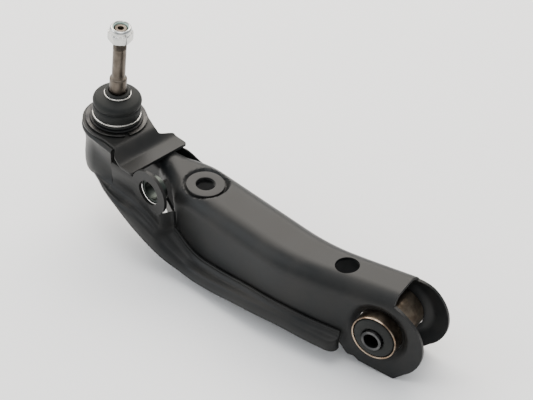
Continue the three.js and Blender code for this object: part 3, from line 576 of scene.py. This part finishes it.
def pressing_loops(top, lip, ridge, reach, rim):
    """Closed sections, offsets from the wall's face and heights: a brow at the top, the wall, a
    hollow, the ridge and the lip. Each argument has one value a row."""
    top, lip, ridge, reach, rim = (np.asarray(v, float)[:, None] for v in (top, lip, ridge, reach, rim))
    tuck = -head_tuck * rim
    brow_out = np.concatenate(
        [-1.6 - (rim_width - 1.6) * rim, -0.9 - 1.3 * rim, -0.2 - 0.4 * rim, 0 * rim], axis=1
    )
    brow_up = np.concatenate([top, top, top - 0.2 - 0.7 * rim, top - 0.9 - 1.7 * rim], axis=1)
    shoulder = ridge + 3.9 + (top - 6.8 - ridge - 3.9) * rim
    share = np.array([[0, 0.06, 0.25, 0.55, 0.8, 0.95, 1]])
    wall_out = tuck + (reach - tuck) * share
    down = np.array([[0, 0, 0, 0, 0.09, 0.34, 1]])
    lift = np.array([[0, 2.6, 0.9, 0, 0, 0, 0]])
    wall_up = ridge + (lip - ridge) * down + lift
    wall_up[:, :1] = shoulder
    middle_up = 0.5 * (brow_up[:, -1:] + shoulder)
    middle_out = 0.5 * tuck
    offsets = np.concatenate([brow_out, middle_out, wall_out], axis=1)
    heights = np.concatenate([brow_up, middle_up, wall_up], axis=1)
    line = smooth_line(np.stack([offsets, heights], axis=-1), 5)
    inner = set_in(line, sheet)
    brow_end = np.arange(inner.shape[1])[None, :] < 15
    inner_top = top - 0.4 - (sheet - 0.4) * rim
    inner[..., 1] = np.where(brow_end, np.minimum(inner[..., 1], inner_top), inner[..., 1])
    inner_out = -sheet - (rim_width - sheet) * rim
    inner[..., 0] = np.where(brow_end, np.clip(inner[..., 0], inner_out, None), inner[..., 0])
    return strip_between(line, inner)


def rim_top(points, out):
    """The rim's height under the head plate, where its inner edge is just clear of the plate."""
    inner = points - out * rim_width * mm
    return np.minimum(head_face(points), head_face(inner)) - sheet - clearance


side_stations = np.concatenate([
    rail_end + 9 * np.linspace(0, 1, 9) ** 2, np.linspace(44, jog_end - 3, 62),
    np.linspace(jog_end - 1.5, head_wall_end + 1.5, 12), np.linspace(head_wall_end + 3, notch_at - 0.6, 44),
])
rim_stations = np.linspace(notch_at, head_at, 16)
along = np.concatenate([side_stations, rim_stations])
round_turn = np.linspace(0, np.pi, 49)[1:-1]
is_rim = np.concatenate([np.zeros(len(side_stations)), np.ones(len(rim_stations))])
rail_taper = 0.35 + 0.65 * np.sqrt(1 - (1 - np.clip((along - rail_end) / 9, 0, 1)) ** 2)
tucked = -head_tuck - head_draft


def side_rows(sign, offset, top, reach):
    """Sections down one side: places of the wall's face, the outward direction and the loops."""
    at = on_arm(along, sign * offset, 0)
    out = (on_arm(along, sign * (offset + 1), 0) - at) / mm
    height = np.where(is_rim > 0, rim_top(at, out), top)
    loops = pressing_loops(height, curve_through(lip_knots, along), ridge_height(along), reach, is_rim)
    return at, out, loops


near_reach = (curve_through(lip_offset_knots, along) - near_rail(along)) * rail_taper
far_reach = (8.8 + (tucked - 8.8) * ease(along, head_at - 38, head_at - 4)) * rail_taper
near_at, near_out, near_loops = side_rows(1, near_rail(along), near_top(along), near_reach)
far_at, far_out, far_loops = side_rows(-1, far_rail(along), far_top(along), far_reach)
head_side = (on_arm(head_at, 1, 0) - on_arm(head_at, 0, 0)) / mm
head_out = np.stack([turn_about(2, -angle) @ head_side for angle in round_turn])
round_at = on_arm(head_at, head_offset, 0) + head_out * head_radius * mm
ones = np.ones(len(round_turn))
round_loops = pressing_loops(
    rim_top(round_at, head_out), curve_through(lip_knots, head_at) * ones,
    ridge_height(head_at) * ones, tucked * ones, ones,
)
wall_at = np.concatenate([near_at, round_at, far_at[::-1]])
wall_out = np.concatenate([near_out, head_out, far_out[::-1]])
wall_loops = np.concatenate([near_loops, round_loops, far_loops[::-1]])
wall_points = wall_at[:, None, :] + wall_out[:, None, :] * wall_loops[..., :1] * mm
wall_points[..., 2] = bush_centre[2] + wall_loops[..., 1] * mm
pressing = lofted("pressing", wall_points, coat)
at_ear = sideways(ear_at, head_offset + head_radius, rod_height)
pressing = combined(pressing, prism(circle(ear_disc, 96), -sheet - 0.1, 0.1, at_ear), "UNION")
pressing = combined(pressing, prism(circle(rod_hole, 80), -20, 20, at_ear), "DIFFERENCE")
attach(pressing, "arm")
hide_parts("outer_pressing")


# ---- Head plate ----
# A flat plate clamped on the rim round the ball joint. Past a waist it is folded down to a wide
# tab that lies over the end of the channel.

plate_radius, tab_half = 28.2, 30.5
reach_rows = np.concatenate([
    plate_radius * np.sin(np.linspace(-np.pi / 2 + 0.02, 0, 28)), np.linspace(1.5, 27, 20),
    np.linspace(28, 44, 34), np.linspace(45, tab_length - 1, 8), [tab_length - 0.4, tab_length],
])
circle_half = np.sqrt(np.maximum(plate_radius**2 - reach_rows**2, 0))
near_waist, far_waist = 26, 18
near_half = near_waist + (plate_radius - near_waist) * (1 - ease(reach_rows, 0, 16))
near_half = near_half + (tab_half - near_waist) * ease(reach_rows, 28, 33)
far_half = far_waist + (plate_radius - far_waist) * (1 - ease(reach_rows, -2, 28))
far_half = far_half + (tab_half - far_waist) * ease(reach_rows, 32, 37.5)
near_half = np.where(reach_rows < 0, circle_half, near_half)
far_half = np.where(reach_rows < 0, circle_half, far_half)
corner = 1.5 * ease(reach_rows, tab_length - 1.5, tab_length)
across = np.sin(np.linspace(-np.pi / 2, np.pi / 2, 40))[None, :]
plate_middle = 0.5 * (near_half - far_half)[:, None]
plate_offset = plate_middle + 0.5 * (near_half + far_half - 2 * corner)[:, None] * across
plate_places = on_arm(head_at - reach_rows[:, None], head_offset + plate_offset, 0)
fold = ease(reach_rows, 26, 41)[:, None]
plate_height = head_face(plate_places) * (1 - fold) + tab_face * fold
edge_round = 0.5 * ease(np.abs(across), 0.995, 1)
plate_top, plate_under = plate_places.copy(), plate_places.copy()
plate_top[..., 2] = bush_centre[2] + (plate_height - edge_round) * mm
plate_under[..., 2] = bush_centre[2] + (plate_height - sheet + edge_round) * mm
plate = lofted("head_plate_sheet", strip_between(plate_top, plate_under), coat)

spin = next(joint for joint in frame["joints"] if joint["name"] == "stud_spin")
stud_axis = np.array(spin["axis"], float)
ball_centre = np.array(spin["pos_m"], float)
ball_depth = 12.0
stud_y = np.array([0.0, 1, 0])
stud_x = np.cross(stud_y, stud_axis)


def on_stud(points):
    """From (x, y, height over the plate's face) in millimetres to places on the stud's axis."""
    return ball_centre + (points + [0, 0, ball_depth]) @ np.stack([stud_x, stud_y, stud_axis]) * mm


plate = combined(plate, prism(circle(22.9, 96), -20, 20, on_stud), "DIFFERENCE")
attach(plate, "arm")
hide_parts("head_plate")


# ---- Link seat ----
# A flat turned washer in the dimple, coated with the arm, that a link or a stop is bolted on.

def rounded(points, radius, steps=4):
    """A closed line with its corners rounded: at each a parabola from one side to the other."""
    points = np.asarray(points, float)
    radius = np.broadcast_to(radius, len(points))[:, None]
    back = np.roll(points, 1, axis=0) - points
    ahead = np.roll(points, -1, axis=0) - points
    back_length = np.linalg.norm(back, axis=1, keepdims=True)
    ahead_length = np.linalg.norm(ahead, axis=1, keepdims=True)
    cut = np.minimum(radius, 0.42 * np.minimum(back_length, ahead_length))
    start = points + back / back_length * cut
    stop = points + ahead / ahead_length * cut
    u = np.linspace(0, 1, steps + 1)[None, :, None]
    line = (1 - u) ** 2 * start[:, None] + 2 * u * (1 - u) * points[:, None] + u**2 * stop[:, None]
    return line.reshape(-1, 2)


def turned(name, profile, place, material, count=96):
    """A closed profile (radius, height) in millimetres turned about an axis: each angle's points are
    the radius times its cosine and sine, and the height."""
    profile = np.asarray(profile, float)
    angle = np.linspace(0, 2 * np.pi, count, endpoint=False)[:, None]
    radius, height = profile[:, 0][None, :], profile[:, 1][None, :]
    points = np.stack([radius * np.cos(angle), radius * np.sin(angle), height + 0 * angle], axis=-1)
    faces = loop_faces(count, len(profile), wrap_rows=True)
    return faced_out(link_mesh(name, place(points.reshape(-1, 3)), faces, material))


seat_turn = turn_about(1, seat_tilt)
seat_centre = on_arm(seat_at, seat_offset, channel_top - seat_depth)
seat_coat = dipped_coat("seat_dip", (0.02, 0.02, 0.02), (0.035, 0.034, 0.032), 0.4, 0.52)
seat = turned(
    "link_washer",
    rounded([
        [seat_bore, -seat_thickness], [seat_radius, -seat_thickness], [seat_radius, 0], [seat_bore, 0],
    ], 0.5),
    lambda points: points @ seat_turn.T * mm + seat_centre,
    seat_coat,
)
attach(seat, "arm")
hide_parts("link_seat")


# ---- Rod boss ----
# A short turned steel bush welded behind the ear, all of it in one bare steel.

def bare_steel(name, dark, light, low_rough, high_rough, line_scale=420):
    """Bare steel with a cloudy bloom in its colour, and fine grain in its gloss and relief."""
    material, tree, shader = new_material(name)
    bloom = noise_nodes(tree, 90, 5)
    fine = noise_nodes(tree, line_scale, 3)
    tree.links.new(
        mixed_colour(tree, bloom.outputs["Fac"], 0.34, 0.68, dark, light), shader.inputs["Base Color"]
    )
    tree.links.new(mapped(tree, fine.outputs["Fac"], low_rough, high_rough), shader.inputs["Roughness"])
    bumped(tree, shader, fine.outputs["Fac"], 0.00005, 0.3)
    shader.inputs["Metallic"].default_value = 1.0
    return material


boss_material = bare_steel("boss_steel", (0.03, 0.037, 0.034), (0.08, 0.09, 0.08), 0.34, 0.48)
boss = turned(
    "rod_bush",
    rounded([[8.2, -8.5], [11.4, -8.5], [11.4, 0], [8.2, 0]], 0.6),
    lambda points: sideways(ear_at, head_offset + head_radius - lap, rod_height)(points),
    boss_material,
    72,
)
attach(boss, "arm")
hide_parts("rod_boss")


# ---- Ball joint housing ----
# A turned steel cup through the head plate, with a shoulder under it, a groove for the ring over
# it, and a collar for the boot. A rolled-in cover closes it from below.

housing_steel = dipped_coat("housing_black", (0.003, 0.003, 0.0035), (0.007, 0.007, 0.0075), 0.32, 0.45)
race_radius = 12.5 + clearance + 3.8
cavity = race_radius + clearance
race_floor = -ball_depth - 12.5 - clearance - 2
cover_top = race_floor - clearance - 2.4 - clearance
cover_floor = cover_top - 1.8
housing_floor = cover_floor - clearance - 1.4
housing = turned(
    "cup",
    rounded([
        [cavity - 1.6, housing_floor], [cavity + 3.6, housing_floor], [cavity + 3.6, -8], [23.9, -7],
        [23.9, -sheet - clearance], [22.6, -sheet - clearance], [22.6, 0.1], [21.6, 0.1], [21.6, 2.3],
        [22.4, 2.3], [22.2, 3.4], [17.0, 3.4], [17.0, 7.0], [17.8, 7.2], [17.4, 8.2], [15.3, 8.2],
        [11.2, -3.0], [11.2, -5.0], [cavity, -5.0], [cavity, cover_top + clearance],
        [cavity + 0.9, cover_top + clearance], [cavity + 0.9, cover_floor - clearance],
        [cavity - 1.6, cover_floor - clearance],
    ], 0.5, 3),
    on_stud,
    housing_steel,
)
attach(housing, "arm")
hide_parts("ball_housing")

cover = frame["nodes"]["housing_cover"]
cover.data.materials.clear()
cover.data.materials.append(housing_steel)

race_plastic, race_tree, race_shader = new_material("race_acetal")
race_noise = noise_nodes(race_tree, 160, 3)
race_tree.links.new(
    mixed_colour(race_tree, race_noise.outputs["Fac"], 0.3, 0.7, (0.62, 0.6, 0.52), (0.74, 0.72, 0.64)),
    race_shader.inputs["Base Color"],
)
race_tree.links.new(mapped(race_tree, race_noise.outputs["Fac"], 0.35, 0.5), race_shader.inputs["Roughness"])
for node_name in ("race_upper", "race_lower"):
    race = frame["nodes"][node_name]
    race.data.materials.clear()
    race.data.materials.append(race_plastic)

spring_steel = bare_steel("spring_strip", (0.12, 0.12, 0.13), (0.3, 0.3, 0.31), 0.25, 0.4)
spring = frame["nodes"]["preload_spring"]
spring.data.materials.clear()
spring.data.materials.append(spring_steel)


# ---- Housing ring ----
# A split ring of hardened flat steel, sprung into the housing's groove to hold the plate down.

ring_middle, ring_half = np.radians(-37), np.radians(4.5)
ring_section = rounded([[21.9, 0.3], [25.8, 0.3], [25.8, 2.1], [21.9, 2.1]], 0.5)
ring_angle = np.linspace(ring_middle + ring_half, ring_middle - ring_half + 2 * np.pi, 110)[:, None]
ring_points = np.stack([
    ring_section[:, 0] * np.cos(ring_angle), ring_section[:, 0] * np.sin(ring_angle),
    ring_section[:, 1] + 0 * ring_angle,
], axis=-1)
ring_steel = bare_steel("ring_strip", (0.02, 0.02, 0.022), (0.07, 0.068, 0.065), 0.28, 0.42)
ring_faces = loop_faces(len(ring_angle), len(ring_section), ends_closed=True)
ring = faced_out(link_mesh("split_ring", on_stud(ring_points.reshape(-1, 3)), ring_faces, ring_steel))
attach(ring, "arm")
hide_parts("housing_ring")


# ---- Ball stud ----
# One forging, turned and phosphated: the ball, a neck, a thick collar, a shank, and a metric
# thread under and inside the nut. Its end has a driving recess.

stud_step, stud_top, thread_start, thread_pitch, thread_depth = 43.8, 95.0, 74.0, 1.5, 0.55
ball_lower = np.linspace(-np.pi / 2, np.arccos(6.2 / 12.5), 60)
stud_profile = np.concatenate([
    np.column_stack([12.5 * np.cos(ball_lower), -ball_depth + 12.5 * np.sin(ball_lower)]),
    [[6.3, 4], [6.2, 20], [6.5, 21.5], [7.3, 23], [7.3, stud_step - 1.2], [7.15, stud_step - 0.5],
     [6.7, stud_step], [5.9, stud_step + 0.4], [5.65, stud_step + 1]],
    np.column_stack([np.full(12, 5.65), np.linspace(stud_step + 2.5, thread_start - 1, 12)]),
    np.column_stack([np.full(170, 5.7), np.linspace(thread_start, stud_top - 1, 170)]),
    [[5.2, stud_top - 0.4], [4.8, stud_top], [2.7, stud_top], [2.5, stud_top - 0.4], [2.2, stud_top - 4],
     [0.02, stud_top - 4.6]],
])
stud_profile[0, 0] = 0.02
stud_angle = np.linspace(0, 2 * np.pi, 72, endpoint=False)[:, None]
stud_radius, stud_height = stud_profile[:, 0][None, :] + 0 * stud_angle, stud_profile[:, 1][None, :]
turn_share = (stud_height / thread_pitch - stud_angle / (2 * np.pi)) % 1
groove = thread_depth * (1 - np.abs(2 * turn_share - 1)) * 1.1
threaded = ease(stud_height, thread_start, thread_start + 2) * (stud_height < stud_top - 0.9)
stud_radius = stud_radius - groove * threaded
stud_points = np.stack([
    stud_radius * np.cos(stud_angle), stud_radius * np.sin(stud_angle), stud_height + 0 * stud_angle,
], axis=-1)
rows, columns = stud_points.shape[:2]
stud_row, stud_column = np.arange(rows)[:, None], np.arange(columns - 1)[None, :]
stud_faces = np.stack(np.broadcast_arrays(
    stud_row * columns + stud_column, (stud_row + 1) % rows * columns + stud_column,
    (stud_row + 1) % rows * columns + stud_column + 1, stud_row * columns + stud_column + 1,
), axis=-1).reshape(-1, 4).tolist()
stud_faces.append((np.arange(rows) * columns)[::-1].tolist())
stud_faces.append((np.arange(rows) * columns + columns - 1).tolist())
phosphate = bare_steel("phosphate", (0.06, 0.048, 0.038), (0.14, 0.12, 0.1), 0.3, 0.48, 260)
stud = faced_out(link_mesh("stud_shaft", on_stud(stud_points.reshape(-1, 3)), stud_faces, phosphate))
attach(stud, "stud")
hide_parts("ball_stud")


# ---- Dust boot ----
# Moulded rubber with one groove round it: a skirt on the housing and a dome round the stud's neck.
# They meet in the groove.

rubber, rubber_tree, rubber_shader = new_material("boot_rubber")
rubber_cloud = noise_nodes(rubber_tree, 60, 4)
rubber_grain = noise_nodes(rubber_tree, 1500, 2)
rubber_colour = mixed_colour(
    rubber_tree, rubber_cloud.outputs["Fac"], 0.3, 0.72, (0.011, 0.012, 0.012), (0.022, 0.023, 0.021)
)
rubber_tree.links.new(rubber_colour, rubber_shader.inputs["Base Color"])
rubber_tree.links.new(
    mapped(rubber_tree, rubber_cloud.outputs["Fac"], 0.5, 0.66), rubber_shader.inputs["Roughness"]
)
bumped(rubber_tree, rubber_shader, rubber_grain.outputs["Fac"], 0.00005, 0.3)
rubber_shader.inputs["Specular IOR Level"].default_value = 0.16

skirt = turned(
    "boot_skirt",
    rounded([
        [18.1, 3.8], [20.4, 3.8], [20.7, 5.4], [19.3, 6.3], [19.3, 8.1], [20.2, 9.0], [20.4, 12],
        [20.3, 15.2], [19.2, 16.9], [17.0, 16.9], [17.4, 15.2], [17.8, 12], [17.9, 8.5], [18.1, 8.2],
    ], 0.8, 5),
    on_stud,
    rubber,
)
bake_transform(skirt)
dome = turned(
    "boot_dome",
    rounded([
        [17.0, 16.3], [19.15, 16.3], [20.0, 18.0], [20.6, 19.8], [20.3, 21.9], [18.6, 24.0], [15.2, 25.4],
        [12.6, 26.2], [10.4, 26.8], [10.3, 28.4], [11.0, 29.4], [9.9, 30.5], [7.6, 30.5], [7.6, 25.0],
        [11.2, 23.4], [15.0, 22.2], [17.4, 20.0], [17.0, 18.0],
    ], 1.2, 6),
    on_stud,
    rubber,
)
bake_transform(dome)
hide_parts("dust_boot")
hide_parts("dust_boot")


# ---- Boot clips ----
# Two rings of bright spring wire, wound twice, that hold the boot on the housing and on the stud.

wire_steel = bare_steel("bright_wire", (0.5, 0.48, 0.44), (0.78, 0.76, 0.72), 0.18, 0.3)


def wire_clip(name, radius, height, wire, body, node):
    """A ring of round wire: a circular section carried along two turns of a flat helix, which climbs
    by the wire's radius a turn."""
    angle = np.linspace(0, 4 * np.pi - 0.3, 190)[:, None]
    section = np.linspace(0, 2 * np.pi, 12, endpoint=False)[None, :]
    climb = wire * (angle / (2 * np.pi) - 1)
    ring_radius = radius + wire * np.cos(section)
    points = np.stack([
        ring_radius * np.cos(angle), ring_radius * np.sin(angle), height + climb + wire * np.sin(section),
    ], axis=-1)
    faces = loop_faces(len(angle), section.shape[1], ends_closed=True)
    clip = faced_out(link_mesh(name, on_stud(points.reshape(-1, 3)), faces, wire_steel))
    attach(clip, body)
    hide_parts(node)
    return clip


wire_clip("lower_wire", 19.9, 7.2, 0.55, "arm", "boot_lower_clip")
wire_clip("neck_wire", 10.9, 27.6, 0.5, "boot_ring", "boot_neck_clip")


# ---- Lock nut ----
# A zinc-plated hexagon nut, chamfered at both ends, with a round collar that holds a nylon ring.

nut_base = 83.6
nut_flat_half = 9.5
nut_profile = np.array([
    [6.6, 0], [8.6, 0], [9.4, 0.15], [10.2, 0.6], [11.2, 1.3], [11.2, 3], [11.2, 5.5], [11.2, 7.2],
    [10.4, 7.9], [9.7, 8.35], [9.3, 8.6], [9.2, 9.2], [9.2, 10.6], [9.0, 11.6], [8.4, 12.5], [7.7, 12.9],
    [7.2, 13.0], [6.9, 12.8], [6.9, 12.5], [7.7, 12.3], [7.7, 9.3], [6.1, 9.1], [6.05, 0.6],
])
nut_angle = np.linspace(0, 2 * np.pi, 144, endpoint=False)[:, None]
flat_angle = (nut_angle - np.radians(31) + np.pi / 6) % (np.pi / 3) - np.pi / 6
hexagon = nut_flat_half / np.cos(np.pi / 6 - np.abs(flat_angle))
hexagon = hexagon - 0.25 * np.exp(-((flat_angle / 0.05) ** 2))
nut_radius = np.minimum(nut_profile[:, 0][None, :], np.where(nut_profile[:, 0] > 9.35, hexagon, 99))
nut_points = np.stack([
    nut_radius * np.cos(nut_angle), nut_radius * np.sin(nut_angle),
    nut_base + nut_profile[:, 1] + 0 * nut_angle,
], axis=-1)
zinc, zinc_tree, zinc_shader = new_material("zinc_plate")
zinc_cloud = noise_nodes(zinc_tree, 220, 3)
zinc_tree.links.new(
    mixed_colour(zinc_tree, zinc_cloud.outputs["Fac"], 0.3, 0.72, (0.42, 0.43, 0.43), (0.7, 0.69, 0.65)),
    zinc_shader.inputs["Base Color"],
)
zinc_tree.links.new(mapped(zinc_tree, zinc_cloud.outputs["Fac"], 0.16, 0.32), zinc_shader.inputs["Roughness"])
bumped(zinc_tree, zinc_shader, zinc_cloud.outputs["Fac"], 0.00005, 0.2)
zinc_shader.inputs["Metallic"].default_value = 1.0
nut_faces = loop_faces(len(nut_angle), len(nut_profile), wrap_rows=True)
nut = faced_out(link_mesh("lock_nut", on_stud(nut_points.reshape(-1, 3)), nut_faces, zinc, 30))
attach(nut, "stud")
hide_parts("stud_nut")

nylon, nylon_tree, nylon_shader = new_material("nylon_ring")
nylon_noise = noise_nodes(nylon_tree, 180, 2)
nylon_tree.links.new(
    mixed_colour(nylon_tree, nylon_noise.outputs["Fac"], 0.3, 0.7, (0.3, 0.42, 0.37), (0.44, 0.56, 0.5)),
    nylon_shader.inputs["Base Color"],
)
nylon_tree.links.new(
    mapped(nylon_tree, nylon_noise.outputs["Fac"], 0.35, 0.5), nylon_shader.inputs["Roughness"]
)
insert = turned(
    "nylon_insert",
    rounded([[6.0, 93.1], [7.4, 93.1], [7.4, 95.8], [6.0, 95.8]], 0.5),
    on_stud,
    nylon,
    72,
)
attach(insert, "stud")
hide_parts("nut_insert")


# ---- Pivot bush ----
# A steel sleeve pressed through both ears, a moulded rubber block bonded inside it, and a thick
# inner sleeve for the pivot bolt. The outer sleeve is bare and brown, its end faces a painted highlight.

def along_bush(points):
    """From (x, z, depth against Y) in millimetres about the bush axis to places in metres."""
    return np.column_stack([points[:, 0], points[:, 2], -points[:, 1]]) * mm + bush_centre


sleeve_half = ear_half + 7
sleeve_brown = bare_steel("sleeve_brown", (0.06, 0.045, 0.032), (0.2, 0.165, 0.125), 0.3, 0.46, 300)
# The end faces' material is a brighter, glossier copy of the sleeve steel: a painted highlight.
sleeve_end_highlight = bare_steel("sleeve_painted_highlight", (0.17, 0.11, 0.07), (0.5, 0.4, 0.31), 0.18, 0.34, 300)
sleeve_bore = sleeve_radius - 1.5
sleeve = turned(
    "bush_sleeve",
    rounded([
        [sleeve_bore, -sleeve_half + 0.4], [sleeve_bore + 1.1, -sleeve_half],
        [sleeve_radius - 0.5, -sleeve_half],
        [sleeve_radius, -sleeve_half + 1.2], [sleeve_radius, -sleeve_half + 2.2],
        [sleeve_radius, sleeve_half - 2.2], [sleeve_radius, sleeve_half - 1.2],
        [sleeve_radius - 0.5, sleeve_half],
        [sleeve_bore + 1.1, sleeve_half], [sleeve_bore, sleeve_half - 0.4],
    ], 0.5),
    along_bush,
    sleeve_brown,
    128,
)
sleeve.data.materials.append(sleeve_end_highlight)
sleeve_centres = np.empty(len(sleeve.data.polygons) * 3)
sleeve.data.polygons.foreach_get("center", sleeve_centres)
from_middle = np.abs(sleeve_centres.reshape(-1, 3)[:, 1] - bush_centre[1]) / mm
# Faces at the sleeve's ends take the painted highlight material.
painted_highlight_faces = (from_middle > sleeve_half - 0.9).astype(np.int32)
sleeve.data.polygons.foreach_set("material_index", painted_highlight_faces)
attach(sleeve, "arm")
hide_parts("bush_outer_sleeve")

rubber_end = sleeve_half - 2.2
block_half = np.array([
    [9.3, rubber_end + 2.4], [9.9, rubber_end + 3.5], [11.0, rubber_end + 3.9], [13.4, rubber_end + 3.5],
    [16.6, rubber_end + 2.6], [17.5, rubber_end + 1.9], [17.8, rubber_end + 0.9], [18.1, rubber_end + 0.4],
    [18.3, rubber_end + 0.6], [18.3, rubber_end - 0.8],
])
block_profile = np.concatenate([block_half, block_half[::-1] * [1, -1]])
bush_block = turned("bush_block", rounded(block_profile, 0.6, 4), along_bush, rubber, 112)
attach(bush_block, "arm")
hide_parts("bush_rubber")

core_end = sleeve_half + 4.2
core_steel = bare_steel("core_steel", (0.035, 0.036, 0.037), (0.1, 0.1, 0.1), 0.32, 0.45, 350)
core = turned(
    "bush_core_tube",
    rounded([[6.6, -core_end], [8.9, -core_end], [8.9, core_end], [6.6, core_end]], 0.7, 5),
    along_bush,
    core_steel,
)
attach(core, "bush_core")
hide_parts("bush_inner_sleeve")
